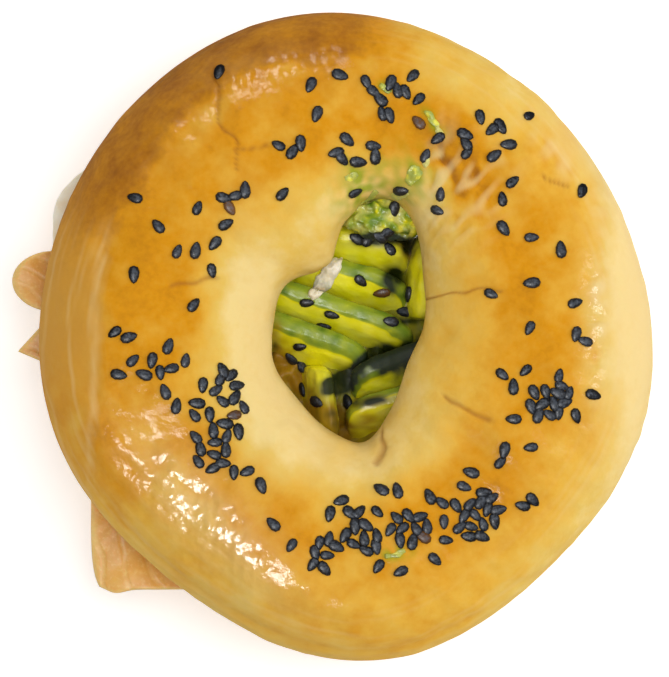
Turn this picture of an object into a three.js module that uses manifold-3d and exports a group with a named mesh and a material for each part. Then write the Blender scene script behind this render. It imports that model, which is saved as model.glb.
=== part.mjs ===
// A lox bagel: a glazed bagel cut through the middle, with cream cheese, smoked salmon slices and a fan of
// avocado between its halves, and black sesame on its crust and on the avocado that shows in its hole.
// Millimetres, +Z up. Seen from above, +X is right and +Y is up. Places across the bagel are measured from the
// middle of the top's outline; the whole is moved at the end so that its origin is under its middle.

import * as THREE from 'three';
import { mergeVertices } from 'three/addons/utils/BufferGeometryUtils.js';
import Module from 'manifold-3d';

const wasm = await Module();
wasm.setup();

const TURN = 2 * Math.PI;
const radians = THREE.MathUtils.degToRad;

// ---- Driving dimensions ----------------------------------------------------------------------------------

// The outline and the hole are circles about the hole's middle, each with a few waves round it: how many crests
// a wave has, how high they are and the direction of one of them in degrees. The hole also has local dents: how
// far out each reaches, its direction and how far it spreads in degrees.
const HOLE_CENTRE = new THREE.Vector2(0.9, 2.9);
const OUTLINE = {
  radius: 56.2,
  waves: [
    { crests: 1, height: 2.5, at: -120 },
    { crests: 2, height: 1.6, at: -74 },
    { crests: 4, height: 0.8, at: 5 },
    { crests: 5, height: 0.5, at: -17 },
    { crests: 6, height: 0.3, at: -26 },
  ],
  dents: [],
};
const HOLE = {
  radius: 15.8,
  waves: [
    { crests: 1, height: 0.3, at: -49 },
    { crests: 2, height: 3.8, at: 70 },
    { crests: 3, height: 1.6, at: 58 },
    { crests: 4, height: 1.4, at: -11 },
    { crests: 5, height: 0.9, at: 0 },
    { crests: 6, height: 0.4, at: 24 },
  ],
  dents: [
    { reach: 1.5, at: -84, spread: 10 },
    { reach: -1.4, at: 107, spread: 8 },
  ],
};

// Bottom half, which stands on the flat ring under it. A share of 0 is at the hole's edge and 1 at the rim.
const BOTTOM_CUT_HEIGHT = 16.5;
const BOTTOM_BELLY_HEIGHT = 10.5;
const BOTTOM_POWER = 2.4;
const FOOT_INNER_SHARE = 0.24;
const FOOT_OUTER_SHARE = 0.8;
const BOTTOM_RIM_SHARE = 0.975;
const BOTTOM_HOLE_SHARE = 0.01;
const BOTTOM_EDGE_TUCK = 0.02;

// Filling, from the bottom up
const GAP = 0.35;
const CREAM_BASE = BOTTOM_CUT_HEIGHT + GAP;
const CREAM_THICKNESS = 2.7;
const CREAM_BULGE = { reach: 3.4, at: 156, spread: 9 };
const LOX_BASE = CREAM_BASE + CREAM_THICKNESS + GAP;
const LOX_THICKNESS = 2.2;
const LOX_WAVES = 1.7;
const LOX_SAG = 0.016;
const AVOCADO_BASE = LOX_BASE + LOX_THICKNESS + 1.1;
const PRESSED_GAP = 0.6;

// Top half, whose cut face the filling presses up towards the hole.
const CREST_HEIGHT = 47.5;
const CREST_TILT = { height: 0.8, at: -150 };
const INNER_WALL_HEIGHT = 36;
const OUTER_WALL_HEIGHT = 30;
const CUT_INNER_HEIGHT = AVOCADO_BASE + 11.1;
const CUT_OUTER_HEIGHT = LOX_BASE + LOX_THICKNESS + LOX_WAVES;
const CUT_DISH = 1.5;
const CUT_SHARES = [0.965, 0.66, 0.34, 0.025];
const RIM_TUCK = { share: 0.99, height: 27 };
const SHOULDER_POWER = 2.6;
const DOME_POWER = 2.2;
const CREASE = { depth: 0.7, share: 0.945, width: 0.022, from: -152, to: -52, fade: 10 };

// A sesame seed
const SEED_LENGTH = 3.1;
const SEED_WIDTH = 1.9;
const SEED_THICKNESS = 1.1;
const SEED_TAPER = 0.2;
const SEED_LIFT = 0.16;
const SEED_SPACING = 2.15;
const SEED_TRIES = 40;

// Seeds that lie apart, on the crust and on the avocado, by the pixels of the photo across and down
const PHOTO = { millimetres: 0.18, across: 347, down: 338 };
const CRUST_SEEDS = [
  [220, 74], [311, 87], [317, 116], [340, 77], [347, 141], [366, 84], [373, 93], [380, 101],
  [390, 85], [397, 92], [405, 94], [418, 101], [412, 78], [418, 124], [382, 115], [389, 117],
  [279, 147], [283, 195], [293, 153], [301, 145], [336, 154], [342, 160], [373, 147], [375, 157],
  [358, 163], [355, 193], [401, 191], [440, 195], [437, 211], [437, 140], [425, 157], [479, 119],
  [528, 117], [491, 131], [499, 128], [507, 146], [493, 157], [464, 136], [465, 145], [466, 154],
  [511, 183], [501, 200], [502, 229], [530, 238], [559, 250], [580, 192], [490, 294], [530, 283],
  [573, 303], [583, 341], [528, 328], [574, 334], [137, 199], [160, 227], [179, 252], [136, 275],
  [199, 209], [231, 209], [225, 199], [236, 197], [246, 191], [227, 225], [216, 244], [197, 251],
  [213, 271], [117, 332], [131, 337], [135, 360], [121, 374], [154, 360], [146, 374], [170, 346],
  [187, 360], [162, 372], [173, 368], [167, 391], [178, 405], [235, 471], [248, 470], [262, 484],
  [274, 522], [292, 543], [341, 499], [359, 510], [330, 512], [350, 511], [378, 564], [400, 569],
  [381, 488], [397, 489], [377, 510], [429, 495], [441, 501], [455, 504], [463, 485], [470, 471],
  [443, 520], [445, 538], [434, 557], [521, 504], [531, 498], [499, 461], [503, 449], [529, 446],
  [512, 418], [501, 374], [512, 386], [524, 370], [557, 375], [591, 394], [574, 415], [195, 305],
];
const AVOCADO_SEEDS = [
  [394, 209], [357, 238], [369, 239], [380, 237], [387, 232], [390, 248], [361, 280], [382, 292],
  [410, 294], [405, 311], [391, 321], [307, 302], [332, 314], [324, 326], [300, 346], [291, 358],
  [301, 366], [303, 390], [317, 402], [348, 402],
];

// Clusters of seeds: the middle, half the length and half the width of each, how far it is turned in degrees,
// and how many seeds lie in it.
const CRUST_CLUSTERS = [
  { x: -23.2, y: -14.6, long: 9.0, wide: 4.6, turn: 80, seeds: 25 },
  { x: -4.0, y: -38.7, long: 3.4, wide: 2.2, turn: 60, seeds: 7 },
  { x: 2.5, y: -35.6, long: 3.4, wide: 2.4, turn: -20, seeds: 8 },
  { x: 11.0, y: -33.8, long: 3.4, wide: 2.6, turn: 0, seeds: 10 },
  { x: 23.4, y: -31.7, long: 4.6, wide: 3.2, turn: 60, seeds: 14 },
  { x: 36.0, y: -11.0, long: 3.8, wide: 2.8, turn: 20, seeds: 12 },
];
const CRUST_SEED_DRAW = 21;
const AVOCADO_SEED_DRAW = 7;

// Avocado slices, each a crescent plate that leans on the next: a point on its middle line, how far it runs
// from there to each end along its turn, how steeply it leans, and how far its ends bow to the side. Over 90
// degrees it leans the other way.
const SLICE_HEIGHT = 10;
const SLICE_THICKNESS = 3.8;
const SLICE_FULLNESS = 4;
const AVOCADO_SLICES = [
  { x: 3.0, y: 15.6, back: 21, front: 7.5, turn: -12, lean: 46, bow: 0.8 },
  { x: 3.4, y: 9.0, back: 30, front: 7, turn: -16, lean: 46, bow: 1.2 },
  { x: -0.4, y: 2.9, back: 30, front: 13.4, turn: -19, lean: 46, bow: 1.4 },
  { x: -5.8, y: -1.9, back: 26, front: 8.6, turn: -22, lean: 46, bow: 2.2 },
  { x: -5.4, y: -10.2, back: 4.4, front: 12, turn: -84, lean: 60, bow: 0.4 },
  { x: 6.6, y: -6.8, back: 6.4, front: 18, turn: 20, lean: 46, bow: 0.8 },
  { x: 4.8, y: -14.2, back: 5.5, front: 21, turn: 16, lean: 46, bow: 0.8 },
  { x: 13.2, y: 9.4, back: 6.2, front: 9, turn: 86, lean: 116, bow: -0.8 },
];
const MASH = { x: 6.8, y: 21.0, z: 34.9, long: 6.6, wide: 3.6, high: 2.7, clearance: 0.9 };

// Mesh steps
const TOP_STEPS = 60;
const CRUST_STEPS = 12;
const RING_STEPS = 42;
const BOTTOM_ARC_STEPS = 4;

// ---- Round the ring --------------------------------------------------------------------------------------

/** Degrees from one direction round to an angle, from -180 to 180. */
function degreesFrom(direction, angle) {
  return THREE.MathUtils.euclideanModulo(THREE.MathUtils.radToDeg(angle) - direction + 180, 360) - 180;
}

/** Radius of a waved circle at an angle. */
function wavedRadius(circle, angle) {
  const waved = circle.waves.reduce(
    (radius, wave) => radius + wave.height * Math.cos(wave.crests * (angle - radians(wave.at))),
    circle.radius,
  );
  return circle.dents.reduce(
    (radius, dent) => radius + dent.reach * Math.exp(-((degreesFrom(dent.at, angle) / dent.spread) ** 2)),
    waved,
  );
}

/** Point of the ring at an angle, at a share of the way from the hole's edge to the rim. */
function ringPoint(angle, share, z) {
  const inner = wavedRadius(HOLE, angle);
  const radius = inner + share * (wavedRadius(OUTLINE, angle) - inner);
  return new THREE.Vector3(
    HOLE_CENTRE.x + radius * Math.cos(angle),
    HOLE_CENTRE.y + radius * Math.sin(angle),
    z,
  );
}

/** Angle and share at which a place lies on the ring. */
function ringPlace(x, y) {
  const angle = Math.atan2(y - HOLE_CENTRE.y, x - HOLE_CENTRE.x);
  const radius = Math.hypot(x - HOLE_CENTRE.x, y - HOLE_CENTRE.y);
  const inner = wavedRadius(HOLE, angle);
  return { angle, share: (radius - inner) / (wavedRadius(OUTLINE, angle) - inner) };
}

/** How far an angle in degrees lies inside the crease's stretch, from 0 to 1. */
function creaseStrength(degrees) {
  const rise = THREE.MathUtils.smoothstep(degrees, CREASE.from, CREASE.from + CREASE.fade);
  const fall = 1 - THREE.MathUtils.smoothstep(degrees, CREASE.to - CREASE.fade, CREASE.to);
  return rise * fall;
}

/** Height of the crust over a place on the ring: a flattened dome with low lumps and a crease near the rim. */
function crustHeight(angle, share) {
  const wall = THREE.MathUtils.lerp(INNER_WALL_HEIGHT, OUTER_WALL_HEIGHT, share);
  const crest = CREST_HEIGHT + CREST_TILT.height * Math.cos(angle - radians(CREST_TILT.at));
  const rise = Math.max(0, 1 - Math.abs(2 * share - 1) ** SHOULDER_POWER) ** (1 / DOME_POWER);
  const lumps = (0.5 * Math.cos(3 * angle - 0.7) + 0.35 * Math.cos(5 * angle + 2.1)) * Math.sin(Math.PI * share);
  const dip = Math.exp(-(((share - CREASE.share) / CREASE.width) ** 2));
  const degrees = THREE.MathUtils.radToDeg(Math.atan2(Math.sin(angle), Math.cos(angle)));
  return wall + (crest - wall) * rise + lumps - CREASE.depth * dip * creaseStrength(degrees);
}

/** Height of the top half's cut face, pressed up by the filling towards the hole. */
function cutHeight(share) {
  const inward = THREE.MathUtils.clamp(1 - share, 0, 1);
  return THREE.MathUtils.lerp(CUT_OUTER_HEIGHT, CUT_INNER_HEIGHT, inward ** CUT_DISH);
}

// ---- Closed bodies ---------------------------------------------------------------------------------------

/** Volume inside a body's faces, negative if they point inwards. */
function signedVolume(points, faces) {
  return faces.reduce((sum, [a, b, c]) => sum + points[a].dot(points[b].clone().cross(points[c])) / 6, 0);
}

/** Closed body through rings of as many points each: a loop of them, or a row with a strip over each end. */
function loft(rings, isLoop) {
  const count = rings[0].length;
  const faces = [];
  const steps = isLoop ? rings.length : rings.length - 1;
  for (let ring = 0; ring < steps; ring += 1) {
    const here = ring * count;
    const next = ((ring + 1) % rings.length) * count;
    for (let k = 0; k < count; k += 1) {
      const side = (k + 1) % count;
      faces.push([here + k, here + side, next + side]);
      faces.push([here + k, next + side, next + k]);
    }
  }
  if (!isLoop) {
    const last = (rings.length - 1) * count;
    for (let k = 0; k < count / 2 - 1; k += 1) {
      const far = count - 1 - k;
      faces.push([k, far, k + 1], [k + 1, far, far - 1]);
      faces.push([last + k, last + k + 1, last + far], [last + k + 1, last + far - 1, last + far]);
    }
  }
  const points = rings.flat();
  const outward = signedVolume(points, faces) > 0 ? faces : faces.map(([a, b, c]) => [a, c, b]);
  const geometry = new THREE.BufferGeometry().setFromPoints(points);
  geometry.setIndex(outward.flat());
  return geometry;
}

/** The same shape as a solid that can be joined to others. */
function toSolid(geometry) {
  const bare = geometry.clone();
  bare.deleteAttribute('normal');
  bare.deleteAttribute('uv');
  const merged = mergeVertices(bare);
  return new wasm.Manifold(new wasm.Mesh({
    numProp: 3,
    vertProperties: new Float32Array(merged.attributes.position.array),
    triVerts: new Uint32Array(merged.index.array),
  }));
}

/** A joined solid as a shape again. */
function toGeometry(solid) {
  const mesh = solid.getMesh();
  const geometry = new THREE.BufferGeometry();
  geometry.setAttribute('position', new THREE.BufferAttribute(new Float32Array(mesh.vertProperties), 3));
  geometry.setIndex(new THREE.BufferAttribute(new Uint32Array(mesh.triVerts), 1));
  return geometry;
}

// ---- Bagel -----------------------------------------------------------------------------------------------

/** Section of the top half at an angle: over the crust from hole to rim, then back along the cut face. */
function topSection(angle) {
  const section = [];
  for (let step = 0; step <= CRUST_STEPS; step += 1) {
    const across = Math.cos((Math.PI * step) / CRUST_STEPS);
    const share = (1 - Math.sign(across) * Math.abs(across) ** (2 / SHOULDER_POWER)) / 2;
    section.push(ringPoint(angle, share, crustHeight(angle, share)));
  }
  section.push(ringPoint(angle, RIM_TUCK.share, RIM_TUCK.height));
  for (const share of CUT_SHARES) {
    section.push(ringPoint(angle, share, cutHeight(share)));
  }
  return section;
}

/** Section of the bottom half: down the rim to the flat foot, up the hole's wall and back over the cut face. */
function bottomSection(angle) {
  const rim = BOTTOM_RIM_SHARE + 0.008 * Math.cos(3 * angle + 1);
  const section = [];
  const arc = (wall, foot, step) => {
    const swing = (Math.PI / 2) * (step / BOTTOM_ARC_STEPS);
    const share = foot + (wall - foot) * Math.cos(swing) ** (2 / BOTTOM_POWER);
    return ringPoint(angle, share, BOTTOM_BELLY_HEIGHT * (1 - Math.sin(swing) ** (2 / BOTTOM_POWER)));
  };
  for (let step = 0; step < BOTTOM_ARC_STEPS; step += 1) {
    section.push(arc(rim, FOOT_OUTER_SHARE, step));
  }
  section.push(ringPoint(angle, FOOT_OUTER_SHARE, 0));
  section.push(ringPoint(angle, FOOT_INNER_SHARE, 0));
  for (let step = BOTTOM_ARC_STEPS - 1; step >= 0; step -= 1) {
    section.push(arc(BOTTOM_HOLE_SHARE, FOOT_INNER_SHARE, step));
  }
  for (const share of [BOTTOM_HOLE_SHARE + BOTTOM_EDGE_TUCK, 0.5, rim - BOTTOM_EDGE_TUCK]) {
    section.push(ringPoint(angle, share, BOTTOM_CUT_HEIGHT));
  }
  return section;
}

/** Ring-shaped body from its section at each angle. */
function ringBody(section, steps) {
  const rings = [];
  for (let step = 0; step < steps; step += 1) {
    rings.push(section((TURN * step) / steps));
  }
  return loft(rings, true);
}

// ---- Sesame ----------------------------------------------------------------------------------------------

/** Repeatable draw of numbers from 0 to 1. */
function drawer(start) {
  let state = start >>> 0;
  return () => {
    state = (Math.imul(state, 1664525) + 1013904223) >>> 0;
    return state / 4294967296;
  };
}

/** Seeds at their own places, then seeds spread along each cluster, apart where there is room. */
function scatter(places, clusters, start) {
  const draw = drawer(start);
  const seeds = places.map(([across, down]) => ({
    x: (across - PHOTO.across) * PHOTO.millimetres,
    y: (PHOTO.down - down) * PHOTO.millimetres,
    turn: TURN * draw(),
  }));
  for (const cluster of clusters) {
    const turn = radians(cluster.turn);
    for (let index = 0; index < cluster.seeds; index += 1) {
      let best = null;
      for (let attempt = 0; attempt < SEED_TRIES; attempt += 1) {
        const along = (2 * (index + draw())) / cluster.seeds - 1;
        const across = (2 * draw() - 1) * cluster.wide * Math.sqrt(1 - along * along);
        const x = cluster.x + along * cluster.long * Math.cos(turn) - across * Math.sin(turn);
        const y = cluster.y + along * cluster.long * Math.sin(turn) + across * Math.cos(turn);
        const room = seeds.reduce((least, seed) => Math.min(least, Math.hypot(seed.x - x, seed.y - y)), 99);
        if (best === null || room > best.room) {
          best = { x, y, room };
        }
        if (room >= SEED_SPACING) {
          break;
        }
      }
      seeds.push({ x: best.x, y: best.y, turn: TURN * draw() });
    }
  }
  return seeds;
}

/** A flat five-sided teardrop with its point along -X. */
function seedGeometry() {
  const geometry = new THREE.SphereGeometry(1, 5, 2);
  geometry.rotateX(Math.PI / 2);
  const position = geometry.attributes.position;
  for (let index = 0; index < position.count; index += 1) {
    const widening = 1 + SEED_TAPER * position.getX(index);
    position.setY(index, position.getY(index) * widening);
  }
  geometry.scale(SEED_LENGTH / 2, SEED_WIDTH / 2, SEED_THICKNESS / 2);
  return geometry;
}

/** Solid of a seed that lies on a surface point, turned about the surface's normal. */
function seedSolid(point, normal, turn) {
  const along = new THREE.Vector3(Math.cos(turn), Math.sin(turn), 0);
  const side = normal.clone().cross(along).normalize();
  const ahead = side.clone().cross(normal);
  const place = new THREE.Matrix4().makeBasis(ahead, side, normal);
  place.setPosition(point.clone().addScaledVector(normal, SEED_LIFT));
  return toSolid(seedGeometry().applyMatrix4(place));
}

/** Point of the crust over a place. */
function crustPoint(x, y) {
  const { angle, share } = ringPlace(x, y);
  return new THREE.Vector3(x, y, crustHeight(angle, share));
}

/** Normal of the crust over a place. */
function crustNormal(x, y) {
  const reach = 0.5;
  const alongX = crustPoint(x + reach, y).sub(crustPoint(x - reach, y));
  const alongY = crustPoint(x, y + reach).sub(crustPoint(x, y - reach));
  return alongX.cross(alongY).normalize();
}

/** Top half of the bagel with its seeds. */
function seededTop() {
  let solid = toSolid(ringBody(topSection, TOP_STEPS));
  for (const seed of scatter(CRUST_SEEDS, CRUST_CLUSTERS, CRUST_SEED_DRAW)) {
    const normal = crustNormal(seed.x, seed.y);
    solid = solid.add(seedSolid(crustPoint(seed.x, seed.y), normal, seed.turn));
  }
  return toGeometry(solid);
}

// ---- Cream cheese ----------------------------------------------------------------------------------------

/** Section of the cream cheese: a low bar with round edges, that bulges out past the rim in one place. */
function creamSection(angle) {
  const low = CREAM_BASE;
  const high = CREAM_BASE + CREAM_THICKNESS;
  const middle = (low + high) / 2;
  const ripple = 0.014 * Math.sin(7 * angle + 0.4) + 0.01 * Math.sin(11 * angle + 2);
  const band = wavedRadius(OUTLINE, angle) - wavedRadius(HOLE, angle);
  const offBulge = degreesFrom(CREAM_BULGE.at, angle);
  const bulge = (CREAM_BULGE.reach * Math.exp(-((offBulge / CREAM_BULGE.spread) ** 2))) / band;
  const inner = 0.04 + ripple;
  const outer = 0.965 + ripple + bulge;
  const edge = 0.022;
  return [
    ringPoint(angle, inner + edge, low),
    ringPoint(angle, inner, middle),
    ringPoint(angle, inner + edge, high),
    ringPoint(angle, 0.5, high),
    ringPoint(angle, outer - edge, high),
    ringPoint(angle, outer, middle),
    ringPoint(angle, outer - edge, low),
  ];
}

// ---- Smoked salmon ---------------------------------------------------------------------------------------

/** Height of a salmon slice's underside: low waves that grow towards the rim, and a sag beyond it. */
function loxHeight(x, y) {
  const { angle, share } = ringPlace(x, y);
  const outside = Math.max(0, share - 1) * (wavedRadius(OUTLINE, angle) - wavedRadius(HOLE, angle));
  const growth = 0.25 + 0.75 * THREE.MathUtils.smoothstep(share, 0.45, 0.95);
  const wave = 0.5 + 0.3 * Math.sin(0.36 * x + 0.24 * y + 0.8) + 0.2 * Math.sin(0.17 * x - 0.45 * y);
  return LOX_BASE + LOX_WAVES * growth * wave - LOX_SAG * outside * outside;
}

/** Thin wavy slice: plan gives the place for two numbers from -1 to 1. Its edges are thinned. */
function wavySlice(plan, alongSteps, acrossSteps) {
  const rings = [];
  for (let step = 0; step <= alongSteps; step += 1) {
    const along = (2 * step) / alongSteps - 1;
    const upper = [];
    const under = [];
    for (let side = 0; side <= acrossSteps; side += 1) {
      const across = (2 * side) / acrossSteps - 1;
      const place = plan(along, across);
      const isEdge = Math.abs(along) === 1 || Math.abs(across) === 1;
      const inset = isEdge ? 0.3 * LOX_THICKNESS : 0;
      const base = loxHeight(place.x, place.y);
      upper.push(new THREE.Vector3(place.x, place.y, base + LOX_THICKNESS - inset));
      under.unshift(new THREE.Vector3(place.x, place.y, base + inset));
    }
    rings.push([...upper, ...under]);
  }
  return loft(rings, false);
}

/** The rectangular slice at the lower left, whose rounded end sticks out past the rim. */
function corneredSlice(along, across) {
  const left = -46;
  const right = 11.5;
  const low = -45.8;
  const high = -8.7;
  const corner = 3.2;
  const slip = corner * Math.max(0, Math.abs(across) ** 6) * Math.max(0, -along) ** 9;
  const dip = 0.8 * Math.exp(-(((along + 0.86) / 0.09) ** 2)) * Math.max(0, -across);
  return new THREE.Vector2(
    THREE.MathUtils.mapLinear(along, -1, 1, left, right) + slip * 0.8,
    THREE.MathUtils.mapLinear(across, -1, 1, low, high) - dip - Math.sign(across) * slip * 0.3,
  );
}

/** The slice at the left, which ends in a round lobe and a pointed one. */
function lobedSlice(along, across) {
  const y = THREE.MathUtils.mapLinear(across, -1, 1, -8, 18);
  const roundLobe = 7.3 * Math.sqrt(Math.max(0, 1 - ((y - 10.3) / 6.2) ** 2));
  const pointedLobe = 5.6 * Math.max(0, 1 - Math.abs(y + 2) / 4.4);
  const left = -53 - roundLobe - pointedLobe;
  const right = 14 - 3 * across * across;
  return new THREE.Vector2(THREE.MathUtils.mapLinear(along, -1, 1, left, right), y);
}

/** A slice laid along the ring, trimmed at the rim. */
function trimmedSlice(middle, reach, length) {
  return (along, across) => {
    const heading = radians(middle);
    const sidestep = (length / 2) * along;
    const out = reach + 14.5 * across - 1.6 * along * along * (1 + across);
    const x = out * Math.cos(heading) - sidestep * Math.sin(heading);
    const y = out * Math.sin(heading) + sidestep * Math.cos(heading);
    const { angle, share } = ringPlace(x, y);
    const trimmed = ringPoint(angle, Math.min(share, 0.965), 0);
    return new THREE.Vector2(trimmed.x, trimmed.y);
  };
}

// ---- Avocado ---------------------------------------------------------------------------------------------

/** Highest that filling may reach under the top half, or anywhere in the hole. */
function ceilingHeight(x, y) {
  const { share } = ringPlace(x, y);
  return share < 0 ? CUT_INNER_HEIGHT : cutHeight(share) - PRESSED_GAP;
}

/** A crescent slice: its section is wide at the skin and narrow at the pit, and it tapers to both ends. */
function avocadoSlice({ x, y, back, front, turn, lean, bow }) {
  const stations = 10;
  const heading = radians(turn);
  const tilt = radians(lean);
  const onward = new THREE.Vector3(Math.cos(heading), Math.sin(heading), 0);
  const aside = new THREE.Vector3(-Math.sin(heading), Math.cos(heading), 0);
  const up = aside.clone().multiplyScalar(Math.cos(tilt)).setZ(Math.sin(tilt));
  const through = aside.clone().multiplyScalar(-Math.sin(tilt)).setZ(Math.cos(tilt));
  const outline = [
    [-0.26, 0], [-0.5, 0.5], [-0.5, 0.86], [-0.2, 1], [0.2, 1], [0.5, 0.86], [0.5, 0.5], [0.26, 0],
  ];
  const rings = [];
  for (let station = 0; station <= stations; station += 1) {
    const along = -Math.cos((Math.PI * station) / stations);
    const fullness = Math.sqrt(Math.max(0, 1 - Math.abs(along) ** SLICE_FULLNESS));
    const height = SLICE_HEIGHT * (0.34 + 0.66 * fullness);
    const thickness = SLICE_THICKNESS * (0.4 + 0.6 * fullness);
    const run = THREE.MathUtils.mapLinear(along, -1, 1, -back, front);
    const foot = new THREE.Vector3(x, y, AVOCADO_BASE + 0.26 * thickness * Math.abs(Math.cos(tilt)));
    const swerve = bow * along * along - (SLICE_HEIGHT / 2) * Math.cos(tilt);
    foot.addScaledVector(onward, run).addScaledVector(aside, swerve);
    rings.push(outline.map(([wide, high]) => {
      const point = foot.clone().addScaledVector(through, wide * thickness).addScaledVector(up, high * height);
      point.z = Math.min(point.z, ceilingHeight(point.x, point.y));
      return point;
    }));
  }
  return loft(rings, false);
}

/** A lump of mashed avocado that fills the top of the hole, clear of its wall. */
function mashedLump() {
  const geometry = new THREE.SphereGeometry(1, 12, 7);
  geometry.rotateX(Math.PI / 2);
  const position = geometry.attributes.position;
  for (let index = 0; index < position.count; index += 1) {
    const point = new THREE.Vector3().fromBufferAttribute(position, index);
    const knob = 1 + 0.1 * Math.sin(3 * point.x + 4 * point.y) * Math.cos(5 * point.y - 2 * point.z);
    const offset = new THREE.Vector2(MASH.x + point.x * knob * MASH.long, MASH.y + point.y * knob * MASH.wide);
    offset.sub(HOLE_CENTRE);
    offset.clampLength(0, wavedRadius(HOLE, offset.angle()) - MASH.clearance);
    offset.add(HOLE_CENTRE);
    position.setXYZ(index, offset.x, offset.y, MASH.z + point.z * knob * MASH.high);
  }
  return mergeVertices(geometry.deleteAttribute('normal').deleteAttribute('uv'));
}

/** Whether two solids share any space. */
function touches(solid, other) {
  return solid.intersect(other).getMesh().triVerts.length > 0;
}

/** Slices and mash with the seeds that show in the hole, each on the piece under it and clear of the rest. */
function seededAvocado() {
  const pieces = [...AVOCADO_SLICES.map(avocadoSlice), mashedLump()].map((geometry) => ({
    solid: toSolid(geometry),
    target: new THREE.Mesh(geometry),
  }));
  const ray = new THREE.Raycaster();
  for (const seed of scatter(AVOCADO_SEEDS, [], AVOCADO_SEED_DRAW)) {
    ray.set(new THREE.Vector3(seed.x, seed.y, CREST_HEIGHT), new THREE.Vector3(0, 0, -1));
    const [hit] = ray.intersectObjects(pieces.map((piece) => piece.target));
    if (hit) {
      const grown = seedSolid(hit.point, hit.face.normal.clone().normalize(), seed.turn);
      const host = pieces.find((piece) => piece.target === hit.object);
      const isClear = pieces.every((piece) => piece === host || !touches(grown, piece.solid));
      if (isClear) {
        host.solid = host.solid.add(grown);
      }
    }
  }
  return pieces.map((piece) => toGeometry(piece.solid));
}

// ---- Assembly --------------------------------------------------------------------------------------------

const crust = { color: 0xcf9130, roughness: 0.38, metalness: 0 };
const creamCheese = { color: 0xece3d0, roughness: 0.6, metalness: 0 };
const smokedSalmon = { color: 0xd49a58, roughness: 0.45, metalness: 0 };
const avocado = { color: 0xc4c22c, roughness: 0.5, metalness: 0 };

const bagel = new THREE.Group();

/** Adds a named piece with its finish. */
function addPiece(name, geometry, finish) {
  const mesh = new THREE.Mesh(geometry, new THREE.MeshStandardMaterial(finish));
  mesh.name = name;
  bagel.add(mesh);
}

addPiece('bagel_bottom', ringBody(bottomSection, RING_STEPS), crust);
addPiece('cream_cheese', ringBody(creamSection, RING_STEPS), creamCheese);
addPiece('lox_1', wavySlice(corneredSlice, 12, 6), smokedSalmon);
addPiece('lox_2', wavySlice(lobedSlice, 8, 13), smokedSalmon);
addPiece('lox_3', wavySlice(trimmedSlice(-15, 36, 52), 10, 5), smokedSalmon);
addPiece('lox_4', wavySlice(trimmedSlice(90, 37, 62), 10, 5), smokedSalmon);
seededAvocado().forEach((geometry, index) => {
  const name = index < AVOCADO_SLICES.length ? `avocado_${index + 1}` : 'avocado_mash';
  addPiece(name, geometry, avocado);
});
addPiece('bagel_top', seededTop(), crust);

const box = new THREE.Box3().setFromObject(bagel, true);
const middle = box.getCenter(new THREE.Vector3());
bagel.position.set(-middle.x, -middle.y, -box.min.z);

export default bagel;
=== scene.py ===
"""Dressed model of a lox bagel: a glazed bagel cut through the middle, with cream cheese, smoked salmon
slices and a fan of avocado between its halves, and black sesame on its crust and on the avocado in its hole.

Sizes are in millimetres and places are measured from the middle of the top's outline, +X right and +Y up as
seen from above. Each surface is moved to the model's frame, in metres, when its mesh is made.
"""

import logging
import math
from dataclasses import dataclass, field
from enum import Enum
from typing import Callable

import bpy
import numpy as np
from mathutils import Matrix, Vector
from mathutils.bvhtree import BVHTree


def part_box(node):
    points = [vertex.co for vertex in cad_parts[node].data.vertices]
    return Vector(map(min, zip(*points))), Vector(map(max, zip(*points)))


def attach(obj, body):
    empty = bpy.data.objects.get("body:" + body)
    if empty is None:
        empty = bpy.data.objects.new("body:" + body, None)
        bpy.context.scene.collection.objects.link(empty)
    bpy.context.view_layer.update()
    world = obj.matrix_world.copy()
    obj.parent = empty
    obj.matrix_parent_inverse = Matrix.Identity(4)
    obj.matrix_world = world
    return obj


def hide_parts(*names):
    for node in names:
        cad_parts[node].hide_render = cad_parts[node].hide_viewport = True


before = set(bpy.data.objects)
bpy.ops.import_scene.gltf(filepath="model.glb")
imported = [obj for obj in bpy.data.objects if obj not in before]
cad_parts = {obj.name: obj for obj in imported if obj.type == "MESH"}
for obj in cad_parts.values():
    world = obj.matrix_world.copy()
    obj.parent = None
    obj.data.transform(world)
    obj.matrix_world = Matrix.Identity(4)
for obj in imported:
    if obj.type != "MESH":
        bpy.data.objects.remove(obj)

log = logging.getLogger("lox_bagel")

Array = np.ndarray
Colour = tuple[float, float, float, float]
Pair = tuple[float, float]
Triple = tuple[float, float, float]
Places = tuple[Pair, ...]
Material = bpy.types.Material
Piece = bpy.types.Object
Socket = bpy.types.NodeSocket

MM = 0.001
TURN = 2 * math.pi
BODY = "root"
SHARP_EDGE = math.radians(48)
WHITE = (1.0, 1.0, 1.0, 1.0)


class Slot(Enum):
    """Material slots of the part's record."""

    CRUST = "bagel_crust"
    CREAM = "cream_cheese"
    SALMON = "smoked_salmon"
    AVOCADO = "avocado"
    SESAME = "black_sesame"


class Mark(Enum):
    """Numbers kept at each point of a surface, which its finish reads."""

    BAKE = "bake"
    TAN = "tan"
    STREAK = "streak"
    CRUMB = "crumb"
    CRACK = "crack"
    SMEAR = "smear"
    GLOSS = "gloss"
    SKIN = "skin"
    DEEP = "deep"
    FAT = "fat"
    THIN = "thin"
    RUST = "rust"
    TONE = "tone"
    TILT = "tilt"


def smooth(value: Array, low: float, high: float) -> Array:
    """Soft step: 0 where the value is below low, 1 above high and a soft rise between."""
    share = np.clip((value - low) / (high - low), 0, 1)
    return share * share * (3 - 2 * share)


def signed_power(value: Array, power: float) -> Array:
    """Power of a number's size that keeps its sign."""
    return np.sign(value) * np.abs(value) ** power


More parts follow.
